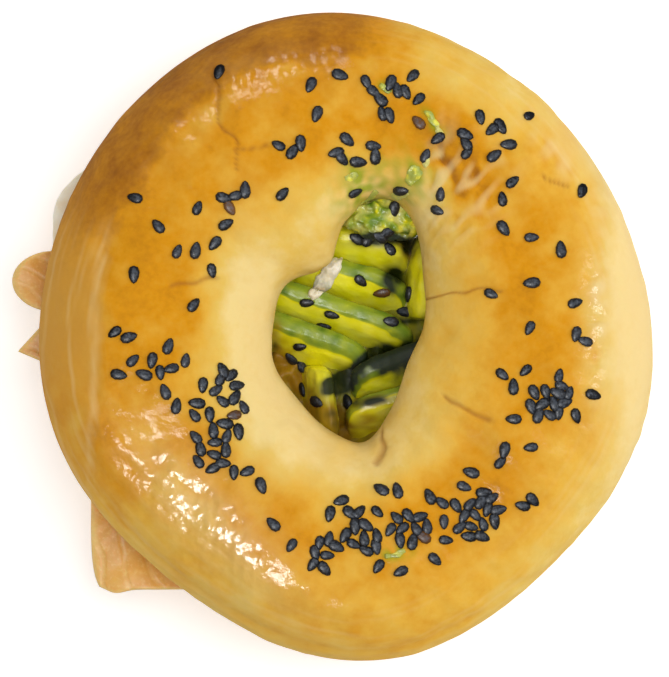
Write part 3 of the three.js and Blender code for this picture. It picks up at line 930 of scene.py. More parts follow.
@dataclass
class TopHalf:
    """Top half of the bagel. Spans are in degrees from 0 to 360: the shoulder comes in over the first two of
    shoulder_span and goes over the last two, and it turns from browned to brushed over side_span."""

    shape: TopShape = TopShape()
    around: int = 720
    profile_steps: int = 400
    crust_rows: int = 86
    rim_rows: int = 7
    cut_rows: int = 22
    lip_rows: int = 3
    cut_inset: float = 0.004
    shoulder_span: tuple[float, float, float, float] = (74, 94, 203, 226)
    side_span: Pair = (152, 174)
    tan_and_sheen_span: Pair = (182, 204)
    rim_low: Pair = (24, 34)
    crack_wander: float = 0.35
    crumb_depth: float = 0.12
    bake_limit: float = 0.67
    browned_bake: float = 0.8
    cracks: tuple[Crack, ...] = (
        Crack(((-23.8, 47.3), (-22.6, 43.0), (-22.9, 39.2), (-20.2, 34.6), (-19.3, 30.2)), 0.3, 0.3),
        Crack(((-20.6, 33.6), (-17.0, 34.4), (-13.9, 33.8)), 0.25, 0.22),
        Crack(((27.5, 8.6), (21.0, 8.2), (14.9, 6.8)), 0.3, 0.3),
        Crack(((5.9, -16.6), (6.4, -19.0), (5.0, -22.0)), 0.5, 0.5),
        Crack(((-31.0, 9.3), (-27.0, 9.8), (-23.4, 10.6)), 0.4, 0.3),
        Crack(((35.2, 28.8), (37.4, 28.0), (39.0, 26.8)), 0.4, 0.4),
        Crack(((17.6, -9.8), (21.0, -12.4), (25.4, -14.4)), 0.4, 0.3),
    )
    shoulder_line: Places = (
        (6.0, 50.0), (-7.0, 49.4), (-14.2, 48.6), (-21.2, 46.2), (-26.0, 42.0), (-30.8, 38.0), (-33.4, 32.6),
        (-37.8, 26.2), (-41.6, 20.0), (-42.9, 12.0), (-43.2, 0.0), (-43.7, -12.0), (-45.2, -27.0),
    )
    # Browner baking; the patch right of the hole is partly painted shade on the slope turned from the key
    # light.
    browned: tuple[Patch, ...] = (
        Patch(-35.0, 20.0, 14, 6, 70, 0.02), Patch(9.0, 33.0, 9, 5, 20, 0.1),
        Patch(22.0, 36.0, 9, 6, -30, 0.18), Patch(18.5, 5.0, 17, 5, 88, 0.2),
        Patch(31.0, -8.0, 15, 8, 80, 0.04), Patch(8.0, -29.0, 14, 4, 0, 0.1),
        Patch(-27.0, 30.0, 6, 4, 40, 0.05), Patch(-35.0, 0.0, 17, 8, 85, 0.04),
        Patch(24.0, 27.0, 7, 5, 60, 0.08),
    )
    # Paler baking, partly painted light: the slope left of the hole that faces the key light and the right
    # rim's broad highlight.
    paled_and_lit: tuple[Patch, ...] = (
        Patch(-17.5, -1.0, 21, 5, 100, 0.26), Patch(-14.0, -20.0, 9, 6, -45, 0.16),
        Patch(-8.0, 27.0, 9, 6, 20, 0.1), Patch(20.0, -18.0, 11, 6, 40, 0.12),
        Patch(20.0, 19.0, 10, 6, 40, 0.1), Patch(51.5, 8.0, 30, 7, 88, 0.66),
        Patch(42.0, -32.0, 22, 8, 48, 0.22), Patch(-4.0, -50.0, 36, 9, 3, 0.12),
        Patch(-30.0, -38.0, 18, 8, -40, 0.16), Patch(28.0, 42.0, 18, 8, -38, 0.3),
    )
    # Pale dusty patches, partly painted light: the glossy lower left, the lit slope left of the hole and the
    # right rim's highlight.
    dust_and_highlight: tuple[Patch, ...] = (
        Patch(0.0, -20.0, 13, 4.5, 8, 0.3), Patch(-16.0, 3.0, 16, 3.5, 95, 0.35),
        Patch(-10.0, -13.0, 9, 3.5, -55, 0.4), Patch(-25.0, -31.0, 17, 5, -46, 0.35),
        Patch(54.0, 10.0, 34, 7, 88, 0.8), Patch(44.0, 34.0, 14, 4, -48, 0.4),
    )
    torn: tuple[Patch, ...] = (
        Patch(22.0, 26.0, 9, 5.5, 60, 0.8), Patch(16.4, 31.0, 8, 2.2, 85, 0.9),
        Patch(45.0, 6.0, 15, 1.7, 88, 0.8), Patch(38.0, 32.0, 8, 2.0, -50, 0.6),
    )
    glossy: tuple[Patch, ...] = (
        Patch(-24.5, -33.0, 21, 8, -45, 1.0), Patch(-14.0, 48.0, 14, 5, 8, 0.9),
        Patch(-31.0, 36.0, 14, 5, 45, 0.6), Patch(30.0, -30.0, 22, 9, 40, 0.2),
        Patch(44.5, 4.0, 17, 2.4, 88, 0.9),
    )
    wrinkled: tuple[Patch, ...] = (
        Patch(-26.0, -32.0, 22, 7, -46, 1.0), Patch(-14.0, 48.0, 13, 4, 8, 0.9),
        Patch(-31.0, 36.0, 12, 4, 45, 0.4), Patch(44.5, 4.0, 16, 1.8, 88, 0.9),
    )
    smeared: tuple[Patch, ...] = (
        Patch(15.4, 38.6, 2.8, 1.0, -50, 0.8), Patch(12.2, 29.6, 2.0, 1.8, 60, 0.9),
        Patch(-0.2, 31.6, 2.0, 0.7, -60, 0.6), Patch(1.4, 28.8, 1.8, 1.4, -30, 0.8),
        Patch(6.6, 45.0, 1.8, 0.9, 10, 0.7), Patch(8.8, -38.4, 2.8, 1.0, 10, 0.9),
        Patch(8.0, 25.4, 8.0, 2.6, 10, 0.5), Patch(2.6, 26.4, 5.0, 2.0, 42, 0.5),
        Patch(7.0, 30.0, 9.0, 4.0, 20, 0.24),
    )

    def past_shoulder(self, points: Array, angle: Array) -> Array:
        """How far points lie outside the line where the crust's smooth skin ends, in millimetres.

        Args:
            points: The points.
            angle: Angle of each.

        Returns:
            The distances, less than 0 inside.
        """
        line = np.array(self.shoulder_line) - np.array(self.shape.ring.centre)
        at = np.degrees(np.arctan2(line[:, 1], line[:, 0])) % 360
        off = points[..., :2] - np.array(self.shape.ring.centre)
        reach = np.interp(np.degrees(angle) % 360, at, np.linalg.norm(line, axis=1))
        return np.linalg.norm(off, axis=-1) - reach

    def surface(self) -> Surface:
        """Its closed surface with the marks that the finish reads."""
        ring, shape = self.shape.ring, self.shape
        angle = np.linspace(0, TURN, self.around, endpoint=False)[:, None]
        swing = np.cos(np.linspace(0, math.pi, self.profile_steps))
        share = (1 - signed_power(swing, 2 / shape.shoulder_power)) / 2
        share = np.broadcast_to(share, (self.around, self.profile_steps))
        height = shape.crust(angle, share)
        share, height = even_steps(share * ring.band(angle), height, (share, height), self.crust_rows)
        parts = ([share], [height], [np.zeros_like(share)])

        def add(share: Array, height: Array, crumb: float) -> None:
            """Adds the same rows at every angle, bare where crumb is 1."""
            for part, rows in zip(parts, (share, height, np.full(len(share), crumb))):
                part.append(np.broadcast_to(rows, (self.around, len(rows))))

        rim = np.linspace(0, 1, self.rim_rows + 1)[1:]
        outer, inner = shape.cut_shares
        add(1 - (1 - outer) * rim**2, shape.outer_wall + (shape.cut(outer) - shape.outer_wall) * rim, 0.0)
        across = outer + (inner - outer) * np.linspace(self.cut_inset, 1 - self.cut_inset, self.cut_rows)
        add(across, shape.cut(across), 1.0)
        lip = np.linspace(0, 1, self.lip_rows + 1)[:-1]
        add(inner * (1 - lip), shape.cut(inner) + (shape.inner_wall - shape.cut(inner)) * lip, 0.0)

        share, height, crumb = (np.concatenate(part, 1) for part in parts)
        x, y = ring.place(angle, share)
        points = np.stack([x, y, height], -1)
        surface = Surface(points, True)
        wear = self.wear(points, np.broadcast_to(angle, x.shape), share)
        rows = np.arange(points.shape[1])
        is_crust = smooth(rows, 0, 5) * (1 - smooth(rows, self.crust_rows - 6, self.crust_rows))
        pores = self.crumb_depth * crumb * np.abs(uneven(points, 39, 2.6))
        surface.raise_by(self.relief(wear) * is_crust[None, :] - pores)
        surface.marks = {**self.marks(wear), Mark.CRUMB: crumb}
        return surface

    def wear(self, points: Array, angle: Array, share: Array) -> Wear:
        """What happened to each point.

        Args:
            points: Points of the smooth surface.
            angle: Angle of each.
            share: Share of each.

        Returns:
            The wear.
        """
        x, y = points[..., 0], points[..., 1]
        wander = np.stack([uneven(points, seed, 6) for seed in (31, 32)], -1) * self.crack_wander
        depths = [split.at(x + wander[..., 0], y + wander[..., 1]) for split in self.cracks]
        streaks = unrolled(angle, share, 9, 40, 0.6 * uneven(points, 33, 11))
        straight = unrolled(angle, share, 4, 90, 0.3 * uneven(points, 42, 14))
        outward = np.stack([angle * 24, share * 9, 0 * share], -1)
        degrees = np.degrees(angle) % 360
        side = smooth(degrees, *self.side_span)
        start, full, going, gone = self.shoulder_span
        fade = smooth(degrees, start, full) * (1 - smooth(degrees, going, gone))
        past = self.past_shoulder(points, angle) + (0.35 - 0.25 * side) * uneven(points, 46, 3.4)
        edge = 1.6 - 1.0 * side
        return Wear(
            cracked=np.maximum.reduce(depths),
            groove=sum(split.depth * depth for split, depth in zip(self.cracks, depths)),
            folds=1 - np.abs(uneven(streaks * np.array([1.4, 1.4, 1.0]), 34, 2.6)),
            fine=uneven(points, 49, 1.3),
            wrinkled=painted(self.wrinkled, points),
            brushed=uneven(straight, 35, 2.6),
            flakes=uneven(outward + 0.25 * wander.sum(-1, keepdims=True), 36, 1.9),
            torn=np.clip(painted(self.torn, points), 0, 1),
            side=side,
            fade=fade,
            past=past,
            shoulder=smooth(past / edge, -1, 1) * fade,
            points=points,
            angle=angle,
            share=share,
        )

    def relief(self, wear: Wear) -> Array:
        """How far the crust stands out.

        Args:
            wear: What happened to its points.

        Returns:
            Millimetres at each point.
        """
        swell = 0.22 - 0.12 * smooth(wear.share, 0.8, 0.95)
        relief = swell * uneven(wear.points, 37, 13) + 0.07 * uneven(wear.points, 38, 5)
        skin = wear.wrinkled * (0.15 * wear.folds + 0.07 * wear.fine) + 0.16 * wear.torn * wear.flakes
        return relief + (skin - 0.2 * wear.shoulder - wear.groove)

    def bake(self, wear: Wear) -> Array:
        """How far the crust is baked.

        Args:
            wear: What happened to its points.

        Returns:
            0 where it is pale dough, up to 1 where it is dark brown.
        """
        points, share = wear.points, wear.share
        open_rim = 1 - wear.fade
        broad = uneven(points, 40, 16)
        blotch = 0.035 * uneven(points, 44, 7) + 0.02 * uneven(points, 45, 3.0)
        bake = 0.15 + 0.49 * smooth(share, 0.1, 0.44) + 0.03 * broad + blotch
        bake += painted(self.browned, points) - painted(self.paled_and_lit, points)
        bake += 0.1 * wear.torn * uneven(points, 48, 2.4)
        bake -= 0.75 * np.maximum(0, bake - self.bake_limit) * (1 - wear.torn)
        # The crease is painted darker, painted shade in its groove; the open rim is paler.
        bake += 0.08 * self.shape.crease(wear.angle, share) - 0.14 * smooth(share, 0.84, 1.0) * open_rim
        bake -= 0.05 * smooth(share, 0.56, 0.74) * open_rim
        browner = wear.shoulder * (1 - wear.side)
        bake += (self.browned_bake + 0.01 * broad + 0.35 * blotch - bake) * browner
        return bake + (0.02 + 0.16 * wear.fade) * self.under_rim(points) * (share > 0.5)

    def under_rim(self, points: Array) -> Array:
        """1 where points lie low, under the widest line of the rim."""
        return 1 - smooth(points[..., 2], *self.rim_low)

    def streak(self, wear: Wear) -> Array:
        """How much pale flour, stretched dough and painted highlight shows.

        Args:
            wear: What happened to the crust's points.

        Returns:
            0 to about 1 at each point.
        """
        high = 1 - self.under_rim(wear.points)
        streak = np.clip(0.26 * wear.brushed - 0.05, 0, 0.4) * wear.shoulder * wear.side * high
        # Painted highlight: a pale line just outside the shoulder's edge.
        streak += 0.24 * np.exp(-(((wear.past - 1.5) / 0.7) ** 2)) * wear.fade**2 * wear.side * high
        flour = np.clip(0.1 * wear.brushed - 0.02, 0, 0.2) * smooth(wear.share, 0.7, 0.82)
        streak += flour * (1 - wear.fade)
        streak += wear.torn * np.clip(0.16 + 0.5 * wear.flakes, 0, 0.75)
        streak += painted(self.dust_and_highlight, wear.points)
        # Painted glints on the ridges of the wrinkles.
        return streak + 0.12 * wear.wrinkled * wear.folds

    def marks(self, wear: Wear) -> dict[Mark, Array]:
        """Marks of the crust for its finish.

        Args:
            wear: What happened to its points.

        Returns:
            The marks, apart from the crumb's.
        """
        points = wear.points
        ragged = np.clip(0.75 + 0.45 * uneven(points, 41, 2.4), 0, 1.3)
        # Tan on the left of the shoulder, partly painted sheen and shade of that side.
        tan_and_sheen = 0.85 * wear.shoulder * wear.side * (1 - 0.8 * self.under_rim(points))
        going = smooth(np.degrees(wear.angle) % 360, *self.tan_and_sheen_span)
        return {
            Mark.BAKE: np.clip(self.bake(wear), 0.0, 0.88),
            Mark.TAN: tan_and_sheen * (1 - 0.8 * going),
            Mark.STREAK: np.clip(self.streak(wear), 0, 0.8),
            Mark.CRACK: np.clip(wear.cracked * 0.55, 0, 0.8),
            Mark.SMEAR: np.clip(painted(self.smeared, points) * ragged, 0, 0.8),
            Mark.GLOSS: np.clip(painted(self.glossy, points), 0, 1),
        }

    def build(self, bench: Bench) -> Piece:
        """Makes and dresses the piece."""
        return bench.finish(self.surface(), "bagel_top_crust", Slot.CRUST, "bagel_top")


@dataclass
class BottomHalf:
    """Bottom half of the bagel, which stands on the flat ring under it."""

    ring: Ring = Ring()
    cut: float = 16.5
    belly: float = 10.5
    power: float = 2.4
    foot_inner: float = 0.24
    foot_outer: float = 0.8
    rim_share: float = 0.975
    rim_wave: tuple[float, int, float] = (0.008, 3, 1.0)
    hole_share: float = 0.01
    edge_tuck: float = 0.02
    cut_inset: float = 0.004
    crumb_depth: float = 0.12
    around: int = 560
    profile_steps: int = 200
    wall_rows: int = 30
    foot_rows: int = 18
    cut_rows: int = 20

    def rim(self, angle: Array) -> Array:
        """Share of its rim at angles."""
        height, crests, phase = self.rim_wave
        return self.rim_share + height * np.cos(crests * angle + phase)

    def surface(self) -> Surface:
        """Its closed surface with the marks that the finish reads."""
        angle = np.linspace(0, TURN, self.around, endpoint=False)[:, None]
        rim = self.rim(angle)
        swing = np.linspace(0, math.pi / 2, self.profile_steps)
        bend, drop = np.cos(swing) ** (2 / self.power), np.sin(swing) ** (2 / self.power)

        def wall(edge: Array, foot: float, steps: int) -> list[Array]:
            """Share and height down a wall from the cut to the foot.

            Args:
                edge: Share of the wall at the cut, at each angle.
                foot: Its share at the foot.
                steps: Points wanted down it.

            Returns:
                The shares and the heights.
            """
            tuck = self.edge_tuck if foot > 0.5 else -self.edge_tuck
            share = np.concatenate([edge - tuck, foot + (edge - foot) * bend], 1)
            height = np.concatenate([[self.cut], self.belly * (1 - drop)])
            height = np.broadcast_to(height, share.shape)
            return even_steps(share * self.ring.band(angle), height, (share, height), steps)

        outer_share, outer_height = wall(rim, self.foot_outer, self.wall_rows)
        inner_share, inner_height = wall(np.full_like(rim, self.hole_share), self.foot_inner, self.wall_rows)
        flat = np.linspace(0, 1, self.foot_rows + 2)[1:-1]
        foot = self.foot_outer + (self.foot_inner - self.foot_outer) * flat
        foot = np.broadcast_to(foot, (self.around, self.foot_rows))
        near = self.hole_share + self.edge_tuck + self.cut_inset
        far = rim - self.edge_tuck - self.cut_inset
        face = near + (far - near) * np.linspace(0, 1, self.cut_rows)
        share = np.concatenate([outer_share, foot, inner_share[:, ::-1], face], 1)
        height = np.concatenate(
            [outer_height, np.zeros_like(foot), inner_height[:, ::-1], np.full_like(face, self.cut)], 1
        )
        crumb = np.zeros_like(share)
        crumb[:, -self.cut_rows:] = 1
        x, y = self.ring.place(angle, share)
        surface = Surface(np.stack([x, y, height], -1), True)
        self.weather(surface, share, crumb)
        return surface

    def weather(self, surface: Surface, share: Array, crumb: Array) -> None:
        """Adds the crust's relief and marks.

        Args:
            surface: The smooth surface.
            share: Share of each point.
            crumb: 1 where the bread is cut.
        """
        points = surface.points
        height = points[..., 2]
        foot = 1 - smooth(height, 0.0, 2.2)
        relief = 0.2 * uneven(points, 51, 12) + 0.07 * uneven(points, 52, 4.5)
        relief = relief * smooth(height, 0.4, 3.0) * (1 - smooth(height, 14.5, 16.4))
        surface.raise_by(relief - self.crumb_depth * crumb * np.abs(uneven(points, 53, 2.6)))
        outer = smooth(share, 0.4, 0.7)
        bake = 0.3 + 0.26 * outer + 0.24 * foot + 0.06 * uneven(points, 54, 14)
        bake -= 0.12 * smooth(height, 12.0, 16.0) * outer
        surface.marks = {
            Mark.BAKE: np.clip(bake, 0.05, 0.95),
            Mark.TAN: 0.25 * outer * (1 - foot),
            Mark.GLOSS: 0.25 * (1 - foot),
            Mark.CRUMB: crumb,
            **{mark: np.zeros_like(share) for mark in (Mark.STREAK, Mark.CRACK, Mark.SMEAR)},
        }

    def build(self, bench: Bench) -> Piece:
        """Makes and dresses the piece."""
        return bench.finish(self.surface(), "bagel_bottom_crust", Slot.CRUST, "bagel_bottom")


# ---- Cream cheese ----


class Formula:
    """Number that Math nodes work out, written with the usual signs."""

    def __init__(self, wiring: Wiring, socket: Socket) -> None:
        """Wraps a number's socket and the wiring of its tree."""
        self.wiring = wiring
        self.socket = socket

    def apply(self, operation: str, *others: "Formula | float") -> "Formula":
        """Result of a Math node with that operation on this number and others."""
        values = [other.socket if isinstance(other, Formula) else other for other in others]
        return Formula(self.wiring, self.wiring.math(operation, self.socket, *values))

    def __add__(self, other: "Formula | float") -> "Formula":
        """Sum."""
        return self.apply("ADD", other)

    def __sub__(self, other: "Formula | float") -> "Formula":
        """Difference."""
        return self.apply("SUBTRACT", other)

    def __mul__(self, other: "Formula | float") -> "Formula":
        """Product."""
        return self.apply("MULTIPLY", other)

    def signed_power(self, power: float) -> "Formula":
        """Power of the number's size that keeps its sign."""
        return self.apply("ABSOLUTE").apply("POWER", power) * self.apply("SIGN")


class ShapeTree:
    """Geometry Nodes tree with named sizes, which ends in plain geometry with its material."""

    def __init__(self, name: str, sizes: dict[str, float | int]) -> None:
        """Starts a tree that takes geometry, sizes and a material.

        Args:
            name: Its name.
            sizes: Each size by the name of its input.
        """
        self.tree = bpy.data.node_groups.new(name, "GeometryNodeTree")
        self.take("Geometry", "NodeSocketGeometry")
        self.values: dict[str, object] = {}
        for label, value in sizes.items():
            kind = "NodeSocketInt" if isinstance(value, int) else "NodeSocketFloat"
            self.values[self.take(label, kind, value)] = value
        self.finish_input = self.take("Finish", "NodeSocketMaterial")
        self.tree.interface.new_socket("Geometry", in_out="OUTPUT", socket_type="NodeSocketGeometry")
        self.wiring = Wiring(self.tree)
        self.given = self.wiring.add("NodeGroupInput")

    def take(self, name: str, kind: str, value: float | int | None = None) -> str:
        """Adds a named input.

        Args:
            name: Its name.
            kind: Its socket type.
            value: Its default, if it has one.

        Returns:
            Its identifier.
        """
        socket = self.tree.interface.new_socket(name, in_out="INPUT", socket_type=kind)
        if value is not None:
            socket.default_value = value
        return socket.identifier

    def size(self, name: str) -> Formula:
        """Size of that name as a formula."""
        return Formula(self.wiring, self.given.outputs[name])

    def position(self) -> list[Formula]:
        """X, Y and Z of each point as formulas."""
        place = self.wiring.add("GeometryNodeInputPosition").outputs[0]
        parts = self.wiring.add("ShaderNodeSeparateXYZ", {0: place}).outputs
        return [Formula(self.wiring, socket) for socket in parts]

    def placed(self, geometry: Socket, *place: Formula) -> Socket:
        """Geometry with its points at new places.

        Args:
            geometry: The geometry.
            place: New X, Y and Z of each point.

        Returns:
            The moved geometry.
        """
        parts = {index: formula.socket for index, formula in enumerate(place)}
        joined = self.wiring.add("ShaderNodeCombineXYZ", parts).outputs[0]
        places = {"Geometry": geometry, "Position": joined}
        return self.wiring.add("GeometryNodeSetPosition", places).outputs[0]

    def close(self, geometry: Socket) -> None:
        """Ends the tree: makes instances real and gives them the material.

        Args:
            geometry: What the tree has made.
        """
        real = self.wiring.add("GeometryNodeRealizeInstances", {0: geometry}).outputs[0]
        inputs = {"Geometry": real, "Material": self.given.outputs["Finish"]}
        dressed = self.wiring.add("GeometryNodeSetMaterial", inputs).outputs[0]
        self.wiring.add("NodeGroupOutput", {0: dressed})

    def make(self, name: str, start: bpy.types.Mesh, material: Material) -> Piece:
        """Plain mesh piece of what the tree makes of a mesh.

        Args:
            name: Name of the piece.
            start: Mesh that the tree starts from.
            material: Material that it sets.

        Returns:
            The piece, at the origin.
        """
        source = in_scene(name + "_start", start)
        modifier = source.modifiers.new("make", "NODES")
        modifier.node_group = self.tree
        for identifier, value in {**self.values, self.finish_input: material}.items():
            modifier[identifier] = value
        evaluated = source.evaluated_get(bpy.context.evaluated_depsgraph_get())
        mesh = bpy.data.meshes.new_from_object(evaluated)
        mesh.name = name
        source.modifiers.remove(modifier)
        bpy.data.objects.remove(source)
        return in_scene(name, mesh)


@dataclass
class CreamCheese:
    """Ring of spread between the bottom half and the salmon, which bulges past the rim at one place."""

    ring: Ring = Ring()
    base: float = 16.85
    thickness: float = 2.7
    inner_share: float = 0.04
    outer_share: float = 0.965
    bulge: Triple = (3.4, 156, 9)
    ripples: tuple[tuple[float, int, float], ...] = ((0.014, 7, 0.4), (0.01, 11, 2.0))
    side_power: float = 0.16
    face_power: float = 0.55
    around: int = 640
    section: int = 44
    lump: float = 0.9
    lump_scale: float = 170.0
    lump_way: Triple = (1.0, 1.0, 0.25)
    weld: float = 0.02 * MM

    def radius(self, circle: WavedCircle, angle: Formula) -> Formula:
        """Radius of a waved circle as a formula.

        Args:
            circle: The circle.
            angle: Angle in radians.

        Returns:
            The radius.
        """
        total = angle * 0 + circle.radius
        for crests, height, at in circle.waves:
            total = total + ((angle - math.radians(at)) * crests).apply("COSINE") * height
        for reach, at, spread in circle.dents:
            total = total + self.hump(angle, at, spread) * reach
        return total

    def hump(self, angle: Formula, at: float, spread: float) -> Formula:
        """Hump of height 1 round a direction, with that spread, both in degrees from 0 to 360."""
        off = (angle - math.radians(at)) * (1 / math.radians(spread))
        return (off * off * -1).apply("EXPONENT")

    def rolled(self, tree: ShapeTree, placing: Placing) -> Socket:
        """Grid rolled up into the ring.

        Args:
            tree: The tree.
            placing: Shift to the model's frame.

        Returns:
            Its geometry.
        """
        grid = tree.wiring.add("GeometryNodeMeshGrid", {
            "Size X": 1.0, "Size Y": 1.0, "Vertices X": self.around + 1, "Vertices Y": self.section + 1,
        })
        round_ring, round_section, _ = tree.position()
        angle, swing = (round_ring + 0.5) * TURN, (round_section + 0.5) * TURN
        hole = self.radius(self.ring.hole, angle)
        band = self.radius(self.ring.outline, angle) - hole
        reach, at, spread = self.bulge
        swell = self.hump(angle, at, spread) * reach
        ripple = angle * 0
        for height, crests, phase in self.ripples:
            ripple = ripple + (angle * crests + phase).apply("SINE") * height
        inner = hole + band * (ripple + self.inner_share)
        outer = hole + band * (ripple + self.outer_share) + swell
        across = swing.apply("COSINE").signed_power(self.side_power)
        radius = (inner + outer) * 0.5 + (outer - inner) * 0.5 * across
        rise = swing.apply("SINE").signed_power(self.face_power)
        thick = tree.size("Thickness")
        x = (angle.apply("COSINE") * radius + (self.ring.centre[0] + placing.x)) * MM
        y = (angle.apply("SINE") * radius + (self.ring.centre[1] + placing.y)) * MM
        z = (tree.size("Base") + thick * 0.5 + thick * rise * 0.5) * MM
        return tree.placed(grid.outputs[0], x, y, z)

    def lumped(self, tree: ShapeTree, geometry: Socket) -> Socket:
        """Closes the ring and makes it lumpy, more so at its sides than on its pressed faces.

        Args:
            tree: The tree.
            geometry: The rolled ring.

        Returns:
            Its geometry.
        """
        wiring = tree.wiring
        welded = wiring.add("GeometryNodeMergeByDistance", {"Geometry": geometry, "Distance": self.weld})
        noise = wiring.add("ShaderNodeTexNoise", {"Scale": self.lump_scale, "Detail": 2.0})
        push = (Formula(wiring, noise.outputs["Fac"]) - 0.5) * MM * tree.size("Lump")
        normal = wiring.add("GeometryNodeInputNormal").outputs[0]
        level = wiring.add("ShaderNodeVectorMath", {0: normal, 1: self.lump_way}, operation="MULTIPLY")
        inputs = {0: level.outputs[0], "Scale": push.socket}
        moved = wiring.add("ShaderNodeVectorMath", inputs, operation="SCALE").outputs[0]
        inputs = {"Geometry": welded.outputs[0], "Offset": moved}
        uneven = wiring.add("GeometryNodeSetPosition", inputs).outputs[0]
        return wiring.add("GeometryNodeSetShadeSmooth", {0: uneven}).outputs[0]

    def build(self, bench: Bench) -> Piece:
        """Makes and dresses the piece.

        Args:
            bench: What it is finished with.

        Returns:
            The piece.
        """
        sizes = {"Base": self.base, "Thickness": self.thickness, "Lump": self.lump}
        tree = ShapeTree("cream_cheese_ring", sizes)
        tree.close(self.lumped(tree, self.rolled(tree, bench.placing)))
        start = bpy.data.meshes.new("cream_start")
        piece = tree.make("cream_cheese_spread", start, bench.materials[Slot.CREAM])
        face_outwards(piece.data)
        return bench.settle(piece, Slot.CREAM, "cream_cheese")


def face_outwards(mesh: bpy.types.Mesh) -> None:
    """Flips a closed mesh's faces if they point inwards.

    Args:
        mesh: The mesh.
    """
    mesh.calc_loop_triangles()
    corners = np.zeros(len(mesh.loop_triangles) * 3, np.int32)
    mesh.loop_triangles.foreach_get("vertices", corners)
    places = np.zeros(len(mesh.vertices) * 3)
    mesh.vertices.foreach_get("co", places)
    a, b, c = places.reshape(-1, 3)[corners].reshape(-1, 3, 3).transpose(1, 0, 2)
    if np.einsum("ij,ij->i", a, np.cross(b, c)).sum() < 0:
        mesh.flip_normals()


# ---- Smoked salmon ----


@dataclass(frozen=True)
class SalmonLay:
    """How the slices lie: low waves that grow towards the rim, and a sag past it."""

    ring: Ring = Ring()
    base: float = 19.9
    thickness: float = 2.2
    waves: float = 1.7
    sag: float = 0.016

    def height(self, x: Array, y: Array) -> Array:
        """Height of a slice's underside.

        Args:
            x: X of each place.
            y: Y of each place.

        Returns:
            The heights.
        """
        angle, share = self.ring.find(x, y)
        outside = np.maximum(0, share - 1) * self.ring.band(angle)
        growth = 0.25 + 0.75 * smooth(share, 0.45, 0.95)
        wave = 0.5 + 0.3 * np.sin(0.36 * x + 0.24 * y + 0.8) + 0.2 * np.sin(0.17 * x - 0.45 * y)
        return self.base + self.waves * growth * wave - self.sag * outside**2


Plan = Callable[[Array, Array], tuple[Array, Array]]


@dataclass(frozen=True)
class CorneredPlan:
    """Plan of the rectangular slice at the lower left, with slipped corners and a dip near one."""

    left: float = -46.6
    length: float = 58.1
    low: float = -45.8
    width: float = 37.1
    slip: float = 1.8
    dip: float = 0.8

    def __call__(self, along: Array, across: Array) -> tuple[Array, Array]:
        """Place on the plan.

        Args:
            along: -1 to 1 along the slice.
            across: -1 to 1 across it.

        Returns:
            X and Y of each place.
        """
        slip = self.slip * np.abs(across) ** 6 * np.maximum(0, -along) ** 9
        dip = self.dip * np.exp(-(((along + 0.86) / 0.09) ** 2)) * np.maximum(0, -across)
        x = self.left + (along + 1) / 2 * self.length + slip * 0.8
        y = self.low + (across + 1) / 2 * self.width - dip - np.sign(across) * slip * 0.3
        return x, y


@dataclass(frozen=True)
class LobedPlan:
    """Plan of the slice at the left, which ends in a round lobe and a pointed one. A lobe is how far it
    reaches, its Y, and half its width, for the pointed one above and below its tip."""

    low: float = -8.0
    width: float = 26.0
    left: float = -53.0
    right: float = 14.0
    right_bow: float = 3.0
    round_lobe: Triple = (8.0, 10.4, 5.6)
    pointed_lobe: tuple[float, float, float, float] = (7.0, -2.4, 7.6, 3.0)

    def __call__(self, along: Array, across: Array) -> tuple[Array, Array]:
        """Place on the plan.

        Args:
            along: -1 to 1 along the slice.
            across: -1 to 1 across it.

        Returns:
            X and Y of each place.
        """
        y = self.low + (across + 1) / 2 * self.width
        reach, middle, half = self.round_lobe
        round_lobe = reach * np.sqrt(np.maximum(0, 1 - ((y - middle) / half) ** 2))
        reach, tip, above, below = self.pointed_lobe
        pointed_lobe = reach * np.maximum(0, 1 - np.abs(y - tip) / np.where(y > tip, above, below))
        left = self.left - round_lobe - pointed_lobe
        right = self.right - self.right_bow * across**2
        return left + (along + 1) / 2 * (right - left), y


@dataclass(frozen=True)
class TrimmedPlan:
    """Plan of a slice laid along the ring and trimmed at the rim."""

    middle: float
    reach: float
    length: float
    ring: Ring = Ring()
    rim_share: float = 0.965

    def __call__(self, along: Array, across: Array) -> tuple[Array, Array]:
        """Place on the plan.

        Args:
            along: -1 to 1 along the slice.
            across: -1 to 1 across it.

        Returns:
            X and Y of each place.
        """
        heading = math.radians(self.middle)
        sidestep = self.length / 2 * along
        out = self.reach + 14.5 * across - 1.6 * along**2 * (1 + across)
        x = out * math.cos(heading) - sidestep * math.sin(heading)
        y = out * math.sin(heading) + sidestep * math.cos(heading)
        angle, share = self.ring.find(x, y)
        return self.ring.place(angle, np.minimum(share, self.rim_share))


